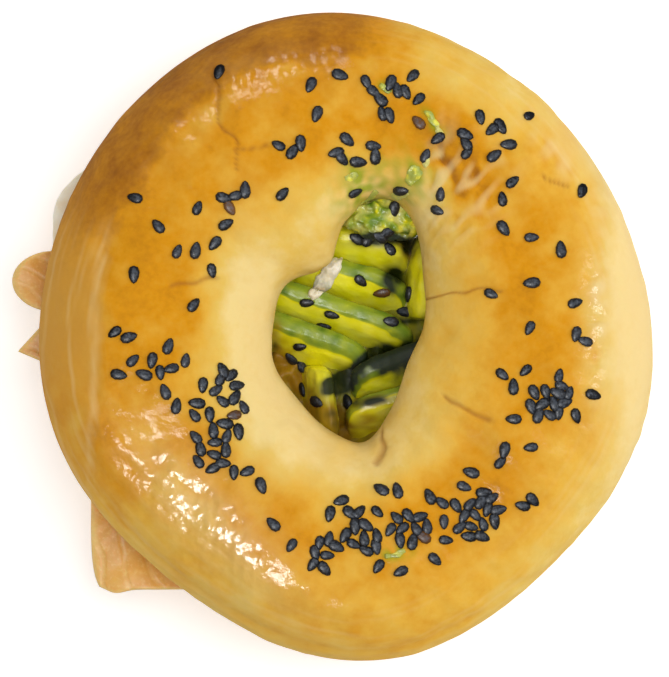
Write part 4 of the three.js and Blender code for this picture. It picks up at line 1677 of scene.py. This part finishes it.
@dataclass(frozen=True)
class SalmonSlice:
    """A thin wavy slice of smoked salmon."""

    node: str
    plan: Plan
    line_turn: float
    seed: int
    lay: SalmonLay = SalmonLay()
    along_steps: int = 190
    across_steps: int = 96
    crowding: float = 0.35
    edge: float = 0.035
    line_gap: float = 4.6

    def steps(self, count: int) -> Array:
        """Steps from -1 to 1, closer to each other at both ends."""
        bent = -np.cos(np.linspace(0, math.pi, count + 1)) * self.crowding
        return bent + np.linspace(self.crowding - 1, 1 - self.crowding, count + 1)

    def surface(self) -> Surface:
        """Its closed surface with the marks that the finish reads."""
        steps = (self.steps(self.along_steps), self.steps(self.across_steps))
        along, across = np.meshgrid(*steps, indexing="ij")
        x, y = self.plan(along, across)
        flat = np.stack([x, y, np.zeros_like(x)], -1)
        near = np.minimum(1 - np.abs(along), (1 - np.abs(across)) * 1.6)
        full = np.sqrt(np.clip(near / self.edge, 0, 1) * (2 - np.clip(near / self.edge, 0, 1)))
        base = self.lay.height(x, y) + self.lay.thickness / 2
        turn = math.radians(self.line_turn)
        line = x * math.cos(turn) + y * math.sin(turn) + 1.5 * uneven(flat, self.seed, 26)
        ridge = np.cos(TURN * line / self.line_gap + 0.5 * uneven(flat, self.seed + 1, 9))
        fat = smooth(ridge, 0.62, 0.98)
        half = self.lay.thickness / 2 * (0.08 + 0.92 * full) - 0.05 * fat - 0.06
        ripple = 0.1 * uneven(flat, self.seed + 2, 5)
        upper = np.stack([x, y, base + half + ripple], -1)
        under = np.stack([x, y, base - half + ripple], -1)
        points = np.concatenate([upper, under[:, ::-1]], 1)
        thin = (1 - smooth(near, 0.0, 0.07)) * 0.55
        return Surface(points, False, {
            Mark.FAT: np.concatenate([fat, fat[:, ::-1]], 1),
            Mark.THIN: np.concatenate([thin, thin[:, ::-1]], 1),
        })

    def build(self, bench: Bench) -> Piece:
        """Makes and dresses the piece."""
        return bench.finish(self.surface(), f"{self.node}_slice", Slot.SALMON, self.node)


# ---- Avocado ----


@dataclass(frozen=True)
class HoleTones:
    """Painted shade in dark green, partly dark skin, and patches painted brown, on the avocado in the hole.
    """

    # Painted shade: dark green in the gaps between slices and under the mash, partly dark skin.
    shaded: tuple[Patch, ...] = (
        Patch(8.6, 10.6, 2.8, 1.9, 80, 1.6), Patch(9.6, -3.5, 5.0, 2.4, 12, 3.0),
        Patch(2.8, -4.4, 3.2, 0.9, 45, 1.8), Patch(-1.1, -8.0, 3.2, 1.7, 18, 2.8),
        Patch(-2.4, -14.2, 4.6, 2.6, -45, 0.5), Patch(6.0, 18.0, 5.6, 1.1, 0, 1.8),
        Patch(10.4, 3.0, 2.6, 0.6, 5, 0.9), Patch(11.0, 16.2, 1.3, 1.4, 0, 0.9),
        Patch(5.2, -11.3, 3.8, 0.9, 8, 1.1), Patch(-7.6, 12.6, 2.6, 0.4, 50, 0.8),
        Patch(-13.2, -1.6, 1.4, 0.8, 80, 0.6), Patch(-5.0, 2.4, 10.0, 4.0, -15, 0.13),
    )
    # Patches painted brown, most at the lower left of the hole.
    rusted: tuple[Patch, ...] = (
        Patch(-11.0, -5.0, 4.8, 2.2, -60, 1.0), Patch(-3.4, -15.0, 5.0, 2.8, -45, 1.6),
        Patch(4.4, -15.4, 3.6, 2.4, 0, 0.6), Patch(5.2, -11.3, 3.4, 0.9, 8, 0.6),
        Patch(11.0, 16.2, 1.4, 1.6, 0, 0.8), Patch(-13.0, 1.8, 1.2, 2.4, 0, 0.5),
    )

    def marks(self, points: Array, seed: int) -> dict[Mark, Array]:
        """Marks of the two kinds of places.

        Args:
            points: Points of a piece in the hole.
            seed: Seed of the raggedness.

        Returns:
            The two marks.
        """
        ragged = 1 + 0.25 * uneven(points, seed, 2.6)
        return {
            Mark.DEEP: np.clip(painted(self.shaded, points) * ragged, 0, 0.98),
            Mark.RUST: np.clip(painted(self.rusted, points) * ragged, 0, 0.85),
        }


@dataclass(frozen=True)
class AvocadoSlice:
    """A crescent plate of avocado that leans on the next: a point on its middle line, how far it runs from
    there to each end along its turn, how steeply it leans, how far its ends bow to the side, and how deep the
    green reaches in from its skin edge."""

    x: float
    y: float
    back: float
    front: float
    turn: float
    lean: float
    bow: float
    skin: float = 0.0
    height: float = 10.0
    thickness: float = 3.8
    fullness: float = 4.0
    base: float = 23.2
    pressed_gap: float = 0.6
    end_height: float = 0.34
    end_thickness: float = 0.4
    rounded_end: float = 0.07
    stations: int = 110
    corner_cuts: int = 3
    corner_cut: float = 0.16
    tones: HoleTones = HoleTones()
    corners: Places = (
        (-0.26, 0), (-0.5, 0.5), (-0.5, 0.86), (-0.2, 1), (0.2, 1), (0.5, 0.86), (0.5, 0.5), (0.26, 0),
    )

    def outline(self) -> Array:
        """Its section with the corners cut off a few times, width and height in each row."""
        outline = np.array(self.corners, float)
        less, more = self.corner_cut, 1 - self.corner_cut
        for _ in range(self.corner_cuts):
            ahead = np.roll(outline, -1, 0)
            cut = np.stack([more * outline + less * ahead, less * outline + more * ahead], 1)
            outline = np.roll(cut.reshape(-1, 2), 1, 0)
        return outline

    def surface(self, shape: TopShape, seed: int) -> Surface:
        """Its closed surface with the marks that the finish reads.

        Args:
            shape: Top half that presses on it.
            seed: Seed of its unevenness.

        Returns:
            The surface.
        """
        turn, lean = math.radians(self.turn), math.radians(self.lean)
        onward = np.array([math.cos(turn), math.sin(turn), 0])
        aside = np.array([-math.sin(turn), math.cos(turn), 0])
        up = aside * math.cos(lean) + np.array([0, 0, math.sin(lean)])
        through = -aside * math.sin(lean) + np.array([0, 0, math.cos(lean)])
        outline = self.outline()
        along = -np.cos(np.linspace(0, math.pi, self.stations + 1))[:, None]
        fullness = np.sqrt(np.maximum(0, 1 - np.abs(along) ** self.fullness))
        into_end = np.clip(np.abs(along) - (1 - self.rounded_end), 0, 1) / self.rounded_end
        round_off = np.sqrt(np.maximum(0.001, 1 - into_end**2))
        height = self.height * (self.end_height + (1 - self.end_height) * fullness)
        thickness = self.thickness * (self.end_thickness + (1 - self.end_thickness) * fullness)
        run = -self.back + (along + 1) / 2 * (self.back + self.front)
        swerve = self.bow * along**2 - self.height / 2 * math.cos(lean)
        foot = np.array([self.x, self.y, self.base]) + run * onward + swerve * aside
        foot[:, 2] += 0.26 * thickness[:, 0] * abs(math.cos(lean))
        wide = outline[None, :, 0] * round_off
        high = 0.5 + (outline[None, :, 1] - 0.5) * round_off
        points = foot[:, None] + (wide * thickness)[..., None] * through + (high * height)[..., None] * up
        surface = Surface(points, False)
        swell = 0.1 * uneven(points, seed, 6)
        surface.raise_by(swell - 0.05 + 0.03 * uneven(points, seed + 1, 1.8))
        _, share = shape.ring.find(surface.points[..., 0], surface.points[..., 1])
        ceiling = np.where(share < 0, shape.cut_inner, shape.cut(share) - self.pressed_gap)
        surface.points[..., 2] = np.minimum(surface.points[..., 2], ceiling)
        lying = high * height * math.cos(lean) - wide * thickness * math.sin(lean)
        from_edge = height * math.cos(lean) + thickness / 2 * math.sin(lean) - lying
        from_edge = from_edge + 0.22 * uneven(points, seed + 2, 6)
        green = np.zeros_like(high)
        if self.skin:
            green = 1 - smooth(from_edge, self.skin - 0.3, self.skin + 0.3)
        surface.marks = {
            Mark.SKIN: 0.14 + 0.62 * green + (0.05 + 0.05 * green) * uneven(points, seed + 3, 3.2),
            Mark.CRUMB: np.zeros_like(high),
            **self.tones.marks(surface.points, seed),
        }
        return surface


@dataclass(frozen=True)
class Lump:
    """A lump with a rough surface: its middle, half its length, width and height, its turn in degrees, the
    seed and the height of its unevenness, and its rows of points from top to foot."""

    middle: Triple
    half: Triple
    turn: float
    seed: int
    rough: float
    rows: int
    pole: float = 0.02

    def surface(self) -> Surface:
        """Its closed surface."""
        polar = np.linspace(self.pole, math.pi - self.pole, self.rows)[:, None]
        around = np.linspace(0, TURN, self.rows * 3 // 2, endpoint=False)[None, :]
        x, y = np.sin(polar) * np.cos(around), np.sin(polar) * np.sin(around)
        z = np.cos(polar) + 0 * around
        knob = 1 + 0.1 * np.sin(3 * x + 4 * y) * np.cos(5 * y - 2 * z)
        long, wide, high = (part * knob * half for part, half in zip((x, y, z), self.half))
        cos, sin = math.cos(math.radians(self.turn)), math.sin(math.radians(self.turn))
        turned = np.stack([long * cos - wide * sin, long * sin + wide * cos, high], -1)
        points = turned + np.array(self.middle)
        surface = Surface(points, False)
        coarse, fine = uneven(points, self.seed, 2.6), uneven(points, self.seed + 1, 1.1)
        surface.raise_by(self.rough * (coarse + 0.5 * fine))
        return surface


@dataclass
class Avocado:
    """Fan of avocado slices between the halves, the mashed lump at the top of the hole, and smears on the
    crust, whose strength is how pale they are."""

    shape: TopShape = TopShape()
    slices: tuple[AvocadoSlice, ...] = (
        AvocadoSlice(3.0, 15.6, 21, 8.4, -12, 46, 0.8),
        AvocadoSlice(3.4, 9.0, 30, 8, -16, 46, 1.2, 3.6),
        AvocadoSlice(-0.4, 2.9, 30, 13.4, -19, 46, 1.4, 4.0),
        AvocadoSlice(-5.8, -1.9, 26, 10, -22, 46, 2.2, 4.6),
        AvocadoSlice(-5.4, -9.2, 4.4, 10.6, -84, 60, 0.4),
        AvocadoSlice(6.6, -6.8, 6.4, 18, 20, 46, 0.8, 4.4),
        AvocadoSlice(4.8, -14.2, 5.5, 21, 16, 46, 0.8, 2.4),
        AvocadoSlice(13.2, 9.4, 6.2, 9, 86, 116, -0.8),
    )
    mash: Lump = Lump((6.8, 21.6, 34.9), (7.4, 4.2, 2.8), 0, 101, 0.2, 88)
    mash_bite: float = 0.5
    bed_top: float = 25.4
    bed_foot: float = 22.9
    bed_around: int = 200
    bed_top_rows: int = 70
    bed_foot_rows: int = 12
    fleck: Lump = Lump((-3.8, 10.8, 0.0), (4.6, 1.5, 1.0), 54, 111, 0.14, 48)
    fleck_lift: float = 0.35
    smears: tuple[Patch, ...] = (
        Patch(15.1, 39.2, 2.0, 0.6, -44, 0.2),
        Patch(16.5, 36.6, 1.6, 0.7, -62, 0.8),
        Patch(11.9, 29.2, 1.7, 1.3, 60, 0.2),
        Patch(14.0, 31.6, 1.2, 0.6, 80, 0.9),
        Patch(0.7, 28.8, 1.1, 0.8, 20, 0.3),
        Patch(7.0, 44.5, 1.3, 0.6, -30, 0.2),
        Patch(8.6, -38.5, 1.8, 0.6, 15, 0.3),
        Patch(3.6, 24.4, 2.4, 0.5, 48, 0.3),
        Patch(9.4, 25.6, 1.5, 0.7, 10, 0.6),
    )
    smear_height: float = 0.3
    smear_lift: float = 0.06
    tones: HoleTones = HoleTones()

    def wedge(self, surface: Surface) -> None:
        """Presses a surface into the hole, a little way into its wall.

        Args:
            surface: The surface.
        """
        ring = self.shape.ring
        off = surface.points[..., :2] - np.array(ring.centre)
        reach = ring.hole.at(np.arctan2(off[..., 1], off[..., 0])) + self.mash_bite
        share = np.minimum(1, reach / np.linalg.norm(off, axis=-1))
        surface.points[..., :2] = np.array(ring.centre) + off * share[..., None]

    def mottle(self, surface: Surface, seed: int) -> None:
        """Marks a surface as crushed avocado, from pale to green, with the hole's painted shade and brown
        patches.

        Args:
            surface: The surface.
            seed: Seed of its spots.
        """
        points = surface.points
        surface.marks = {
            Mark.SKIN: np.clip(0.72 + 0.18 * uneven(points, seed, 2.2), 0, 1),
            Mark.CRUMB: np.clip(0.25 + 0.27 * uneven(points, seed + 1, 2.6), 0, 0.8),
            **self.tones.marks(points, seed + 2),
        }

    def bed(self) -> Surface:
        """Crushed avocado that fills the gaps between the slices at the foot of the hole."""
        ring = self.shape.ring
        around = np.linspace(0, TURN, self.bed_around, endpoint=False)[None, :]
        top, foot = np.linspace(0.01, 1, self.bed_top_rows), np.linspace(1, 0.01, self.bed_foot_rows)
        spread = np.concatenate([top, foot])[:, None]
        is_top = (np.arange(len(spread)) < self.bed_top_rows)[:, None]
        reach = (ring.hole.at(around) + self.mash_bite) * spread
        x = ring.centre[0] + reach * np.cos(around)
        y = ring.centre[1] + reach * np.sin(around)
        flat = np.stack([x, y, np.zeros_like(x)], -1)
        bumps = 0.5 * uneven(flat, 121, 4.2) + 0.16 * uneven(flat, 122, 2.0)
        height = np.where(is_top, self.bed_top + bumps, self.bed_foot)
        surface = Surface(np.stack([x, y, height], -1), False)
        self.mottle(surface, 123)
        # Painted shade over the whole bed, which lies deep in the hole, and more brown.
        surface.marks[Mark.CRUMB] = surface.marks[Mark.CRUMB] * 0.3
        surface.marks[Mark.RUST] = np.clip(surface.marks[Mark.RUST] + 0.35, 0, 0.9)
        surface.marks[Mark.DEEP] = np.clip(surface.marks[Mark.DEEP] + 0.12, 0, 0.94)
        return surface

    def build(self, bench: Bench) -> list[Piece]:
        """Makes and dresses the slices, the mash and the bed between them.

        Args:
            bench: What they are finished with.

        Returns:
            The pieces.
        """
        pieces = []
        for number, plate in enumerate(self.slices, 1):
            surface = plate.surface(self.shape, 60 + 4 * number)
            names = (f"avocado_{number}_slice", Slot.AVOCADO, f"avocado_{number}")
            pieces.append(bench.finish(surface, *names))
        mash = self.mash.surface()
        self.wedge(mash)
        self.mottle(mash, 103)
        pieces.append(bench.finish(mash, "avocado_mash_lump", Slot.AVOCADO, "avocado_mash"))
        pieces.append(bench.finish(self.bed(), "avocado_crushed_bed", Slot.AVOCADO))
        return pieces

    def drape(self, surface: Surface, under: Catcher, lift: float) -> Surface:
        """Lays a surface made at height 0 on what is below it.

        Args:
            surface: The surface.
            under: What it lies on.
            lift: How far its middle plane stays above that.

        Returns:
            The surface.
        """
        flat = surface.points.reshape(-1, 3)
        for point in flat:
            place, _ = under.below(point[0], point[1])
            point[2] += lift + (place.z if place is not None else self.bed_top)
        surface.points = flat.reshape(surface.points.shape)
        return surface

    def build_smears(self, under: Catcher, bench: Bench) -> None:
        """Makes the bits of crushed avocado on the crust.

        Args:
            under: The crust.
            bench: What they are finished with.
        """
        for number, smear in enumerate(self.smears, 1):
            half = (smear.long, smear.wide, self.smear_height)
            lump = Lump((smear.x, smear.y, 0.0), half, smear.turn, 130 + 3 * number, 0.16, 22)
            bit = self.drape(lump.surface(), under, self.smear_lift)
            green = 0.72 + 0.2 * uneven(bit.points, 160 + number, 1.6)
            none = np.zeros_like(green)
            crumb = 0.15 + smear.amount + none
            bit.marks = {Mark.SKIN: green, Mark.CRUMB: crumb, Mark.DEEP: none, Mark.RUST: none}
            bench.finish(bit, f"avocado_bit_{number}", Slot.AVOCADO)

    def build_fleck(self, under: Catcher, bench: Bench) -> Piece:
        """Makes the bit of cream cheese that lies on the slices in the hole."""
        fleck = self.drape(self.fleck.surface(), under, self.fleck_lift)
        return bench.finish(fleck, "cream_fleck", Slot.CREAM)


# ---- Sesame ----


class Draw:
    """Repeatable draw of numbers from 0 to 1, the same as the model's own."""

    def __init__(self, start: int) -> None:
        """Starts the draw at its first state."""
        self.state = start

    def next(self) -> float:
        """Next number."""
        self.state = (self.state * 1664525 + 1013904223) & 0xFFFFFFFF
        return self.state / 4294967296


@dataclass
class Sesame:
    """Black sesame seeds, laid by a tree of nodes on the crust and on the avocado. A cluster of them is a
    patch whose strength is how many they are."""

    length: float = 3.1
    width: float = 1.9
    thickness: float = 1.1
    taper: float = 0.26
    lift: float = 0.2
    spacing: float = 2.15
    tries: int = 40
    spread: float = 0.1
    size_seed: int = 3
    segments: int = 10
    rings: int = 7
    crust_draw: int = 21
    avocado_draw: int = 7
    pixel: float = 0.18
    photo_middle: Pair = (347, 338)
    crust_seeds: tuple[tuple[int, int], ...] = (
        (220, 74), (311, 87), (317, 116), (340, 77), (347, 141), (366, 84), (373, 93), (380, 101),
        (390, 85), (397, 92), (405, 94), (418, 101), (412, 78), (418, 124), (382, 115), (389, 117),
        (279, 147), (283, 195), (293, 153), (301, 145), (336, 154), (342, 160), (373, 147), (375, 157),
        (358, 163), (355, 193), (401, 191), (440, 195), (437, 211), (437, 140), (425, 157), (479, 119),
        (528, 117), (491, 131), (499, 128), (507, 146), (493, 157), (464, 136), (465, 145), (466, 154),
        (511, 183), (501, 200), (502, 229), (530, 238), (559, 250), (580, 192), (490, 294), (530, 283),
        (573, 303), (583, 341), (528, 328), (574, 334), (137, 199), (160, 227), (179, 252), (136, 275),
        (199, 209), (231, 209), (225, 199), (236, 197), (246, 191), (227, 225), (216, 244), (197, 251),
        (213, 271), (117, 332), (131, 337), (135, 360), (121, 374), (154, 360), (146, 374), (170, 346),
        (187, 360), (162, 372), (173, 368), (167, 391), (178, 405), (235, 471), (248, 470), (262, 484),
        (274, 522), (292, 543), (341, 499), (359, 510), (330, 512), (350, 511), (378, 564), (400, 569),
        (381, 488), (397, 489), (377, 510), (429, 495), (441, 501), (455, 504), (463, 485), (470, 471),
        (443, 520), (445, 538), (434, 557), (521, 504), (531, 498), (499, 461), (503, 449), (529, 446),
        (512, 418), (501, 374), (512, 386), (524, 370), (557, 375), (591, 394), (574, 415), (195, 305),
    )
    avocado_seeds: tuple[tuple[int, int], ...] = (
        (394, 209), (357, 238), (369, 239), (380, 237), (387, 232), (390, 248), (361, 280), (382, 292),
        (410, 294), (405, 311), (391, 321), (307, 302), (332, 314), (324, 326), (300, 346), (291, 358),
        (301, 366), (303, 390), (317, 402), (348, 402),
    )
    crust_clusters: tuple[Patch, ...] = (
        Patch(-23.2, -14.6, 9.0, 4.6, 80, 25),
        Patch(-4.0, -38.7, 3.4, 2.2, 60, 7),
        Patch(2.5, -35.6, 3.4, 2.4, -20, 8),
        Patch(11.0, -33.8, 3.4, 2.6, 0, 10),
        Patch(23.4, -31.7, 4.6, 3.2, 60, 14),
        Patch(36.0, -11.0, 3.8, 2.8, 20, 12),
    )

    def scatter(
        self, places: tuple[tuple[int, int], ...], clusters: tuple[Patch, ...], start: int
    ) -> list[Triple]:
        """Seeds at their own places, then seeds spread along each cluster, apart where there is room.

        Args:
            places: Photo pixels of the seeds that lie apart, across and down.
            clusters: The clusters.
            start: First state of the draw.

        Returns:
            X, Y and turn of each seed.
        """
        draw = Draw(start)
        middle = self.photo_middle
        seeds = [
            ((across - middle[0]) * self.pixel, (middle[1] - down) * self.pixel, TURN * draw.next())
            for across, down in places
        ]
        for cluster in clusters:
            cos, sin = math.cos(math.radians(cluster.turn)), math.sin(math.radians(cluster.turn))
            for index in range(int(cluster.amount)):
                best = None
                for _ in range(self.tries):
                    along = 2 * (index + draw.next()) / cluster.amount - 1
                    across = (2 * draw.next() - 1) * cluster.wide * math.sqrt(1 - along * along)
                    x = cluster.x + along * cluster.long * cos - across * sin
                    y = cluster.y + along * cluster.long * sin + across * cos
                    room = min([99.0, *(math.hypot(seed[0] - x, seed[1] - y) for seed in seeds)])
                    if best is None or room > best[2]:
                        best = (x, y, room)
                    if room >= self.spacing:
                        break
                seeds.append((best[0], best[1], TURN * draw.next()))
        return seeds

    def tree(self) -> ShapeTree:
        """Tree that lays a seed on each point of a mesh, each of its own size."""
        tree = ShapeTree("lay_sesame", {
            "Length": self.length,
            "Width": self.width,
            "Thickness": self.thickness,
            "Taper": self.taper,
            "Spread": self.spread,
            "Seed": self.size_seed,
        })
        wiring, given = tree.wiring, tree.given.outputs
        sphere = {"Segments": self.segments, "Rings": self.rings, "Radius": 1.0}
        ball = wiring.add("GeometryNodeMeshUVSphere", sphere)
        x, y, z = tree.position()
        widening = x * tree.size("Taper") + 1
        long, wide, high = (tree.size(name) * (MM / 2) for name in ("Length", "Width", "Thickness"))
        seed = tree.placed(ball.outputs[0], x * long, y * widening * wide, z * widening * high)
        soft = wiring.add("GeometryNodeSetShadeSmooth", {0: seed})
        tilt = wiring.add("GeometryNodeInputNamedAttribute", {0: Mark.TILT.value}, data_type="FLOAT_VECTOR")
        turned = wiring.add("FunctionNodeEulerToRotation", {0: tilt.outputs[0]})
        spread = tree.size("Spread")
        low, high = spread * -1 + 1, spread + 1
        limits = {2: low.socket, 3: high.socket, "Seed": given["Seed"]}
        size = wiring.add("FunctionNodeRandomValue", limits, data_type="FLOAT")
        laid = wiring.add("GeometryNodeInstanceOnPoints", {
            "Points": given["Geometry"],
            "Instance": soft.outputs[0],
            "Rotation": turned.outputs[0],
            "Scale": size.outputs[1],
        })
        tree.close(laid.outputs[0])
        return tree

    def lay(self, name: str, spots: list[tuple[Vector, Vector, float]], bench: Bench) -> Piece:
        """Seeds on spots, as one piece.

        Args:
            name: Name of the piece.
            spots: Point, normal and turn of each seed.
            bench: What it is finished with.

        Returns:
            The piece.
        """
        draw = np.random.default_rng(len(spots))
        places, tilts = [], []
        for point, normal, turn in spots:
            along = Vector((math.cos(turn), math.sin(turn), 0))
            side = normal.cross(along).normalized()
            ahead = side.cross(normal)
            tilts.extend(Matrix((ahead, side, normal)).transposed().to_euler())
            places.append(point + normal * self.lift)
        mesh = bpy.data.meshes.new(name + "_spots")
        mesh.from_pydata(bench.placing.to_frame(np.array(places)).tolist(), [], [])
        tilt = mesh.attributes.new(Mark.TILT.value, "FLOAT_VECTOR", "POINT")
        tilt.data.foreach_set("vector", tilts)
        tone = mesh.attributes.new(Mark.TONE.value, "FLOAT", "POINT")
        tone.data.foreach_set("value", draw.uniform(0, 1, len(spots)))
        return self.tree().make(name, mesh, bench.materials[Slot.SESAME])

    def build(self, crust: Catcher, filling: Catcher, shape: TopShape, bench: Bench) -> list[Piece]:
        """Makes and dresses the seeds on the crust and in the hole.

        Args:
            crust: The top half.
            filling: The avocado slices.
            shape: Rules of the top half.
            bench: What they are finished with.

        Returns:
            The pieces.
        """
        spots = []
        for x, y, turn in self.scatter(self.crust_seeds, self.crust_clusters, self.crust_draw):
            point, _ = crust.below(x, y)
            if point is not None:
                spots.append((point, shape.normal(x, y), turn))
        top = bench.settle(self.lay("crust_sesame", spots, bench), Slot.SESAME, "bagel_top")
        spots = []
        for x, y, turn in self.scatter(self.avocado_seeds, (), self.avocado_draw):
            point, normal = filling.below(x, y)
            if point is not None:
                spots.append((point, normal, turn))
        inside = bench.settle(self.lay("avocado_sesame", spots, bench), Slot.SESAME)
        return [top, inside]


# ---- Studio ----


@dataclass(frozen=True)
class Softbox:
    """Rectangular studio light: where it stands, its size in metres, its power, and whether it shows in the
    gloss of surfaces or lights them."""

    name: str
    place: Triple
    size: Pair
    power: float
    is_gloss: bool

    def build(self, aim: Vector) -> None:
        """Hangs the light.

        Args:
            aim: Point that it faces.
        """
        light = bpy.data.lights.new(self.name, "AREA")
        light.shape = "RECTANGLE"
        light.size, light.size_y = self.size
        light.energy = self.power
        lamp = in_scene(self.name, light)
        lamp.visible_glossy = self.is_gloss
        lamp.visible_diffuse = not self.is_gloss
        lamp.location = self.place
        lamp.rotation_euler = (aim - Vector(self.place)).to_track_quat("-Z", "Y").to_euler()


@dataclass
class Studio:
    """Pale floor, soft lights and a camera straight above. The frame is as wide as frame_width at the point
    that the camera aims at."""

    aim: Triple = (0.00023, -0.00033, 0.036)
    distance: float = 1.2
    frame_width: float = 0.1219
    sensor: float = 36
    far: float = 20
    floor_reach: float = 3.0
    floor_tones: tuple[Colour, Colour] = ((0.93, 0.93, 0.93, 1), (0.95, 0.95, 0.945, 1))
    ambient: float = 0.44
    floor_glow: float = 0.36
    lights: tuple[Softbox, ...] = (
        Softbox("broad_right", (0.8, 0.1, 0.75), (0.8, 1.1), 5.2, False),
        Softbox("overhead", (0.1, 0.1, 1.5), (0.7, 0.7), 9.2, False),
        Softbox("rim_right", (0.9, 0.0, 0.5), (0.5, 0.9), 0.4, True),
        Softbox("gloss_right", (0.6, 0.05, 0.92), (0.08, 0.3), 1.3, True),
        Softbox("gloss_lower_left", (-0.26, -0.41, 0.89), (0.3, 0.18), 7.2, True),
        Softbox("gloss_top", (-0.25, 0.75, 0.75), (0.24, 0.15), 1.5, True),
    )

    def build(self) -> None:
        """Builds floor, lights and camera."""
        self.floor()
        for light in self.lights:
            light.build(Vector(self.aim))
        world = bpy.data.worlds.new("studio")
        world.use_nodes = True
        sky = world.node_tree.nodes["Background"].inputs
        sky["Color"].default_value = WHITE
        sky["Strength"].default_value = self.ambient
        world.cycles_visibility.glossy = False
        bpy.context.scene.world = world
        bpy.context.scene.view_settings.view_transform = "Standard"
        self.camera()

    def floor(self) -> None:
        """Lays the pale floor."""
        mesh = bpy.data.meshes.new("floor")
        reach = self.floor_reach
        corners = [(-reach, -reach, 0), (reach, -reach, 0), (reach, reach, 0), (-reach, reach, 0)]
        mesh.from_pydata(corners, [], [(0, 1, 2, 3)])
        material, wiring = new_material("floor_paint")
        wiring.shade({
            "Base Color": wiring.mix(wiring.noise(3, 2), *self.floor_tones),
            "Roughness": 0.9,
            "Emission Color": WHITE,
            "Emission Strength": self.floor_glow,
        })
        mesh.materials.append(material)
        floor = in_scene("floor", mesh)
        floor.visible_glossy = False

    def camera(self) -> None:
        """Sets up the camera."""
        lens = bpy.data.cameras.new("camera")
        lens.sensor_width = self.sensor
        lens.lens = self.sensor * self.distance / self.frame_width
        lens.clip_end = self.far
        camera = in_scene("camera", lens)
        camera.location = (self.aim[0], self.aim[1], self.aim[2] + self.distance)
        bpy.context.scene.camera = camera


# ---- Assembly ----


def main() -> None:
    """Builds the dressed bagel."""
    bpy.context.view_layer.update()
    ring = Ring()
    bottom = BottomHalf()
    placing = Placing.from_frame(ring, bottom.rim, steps=42)
    log.info("shift to the model's frame: %.4f, %.4f mm", placing.x, placing.y)
    bench = Bench(placing, {
        Slot.CRUST: CrustFinish().material(),
        Slot.CREAM: CreamFinish().material(),
        Slot.SALMON: SalmonFinish().material(),
        Slot.AVOCADO: AvocadoFinish().material(),
        Slot.SESAME: SesameFinish().material(),
    })
    bottom.build(bench)
    CreamCheese().build(bench)
    for salmon in (
        SalmonSlice("lox_1", CorneredPlan(), 4, 81),
        SalmonSlice("lox_2", LobedPlan(), 70, 84),
        SalmonSlice("lox_3", TrimmedPlan(-15, 36, 52), 20, 87),
        SalmonSlice("lox_4", TrimmedPlan(90, 37, 62), 100, 90),
    ):
        salmon.build(bench)
    avocado, top = Avocado(), TopHalf()
    filling = Catcher(avocado.build(bench), placing)
    avocado.build_fleck(filling, bench)
    crown = Catcher([top.build(bench)], placing)
    avocado.build_smears(crown, bench)
    Sesame().build(crown, filling, top.shape, bench)
    Studio().build()
    bpy.context.view_layer.update()


if __name__ == "__main__":
    logging.basicConfig(level=logging.INFO, format="%(name)s: %(message)s")
    main()
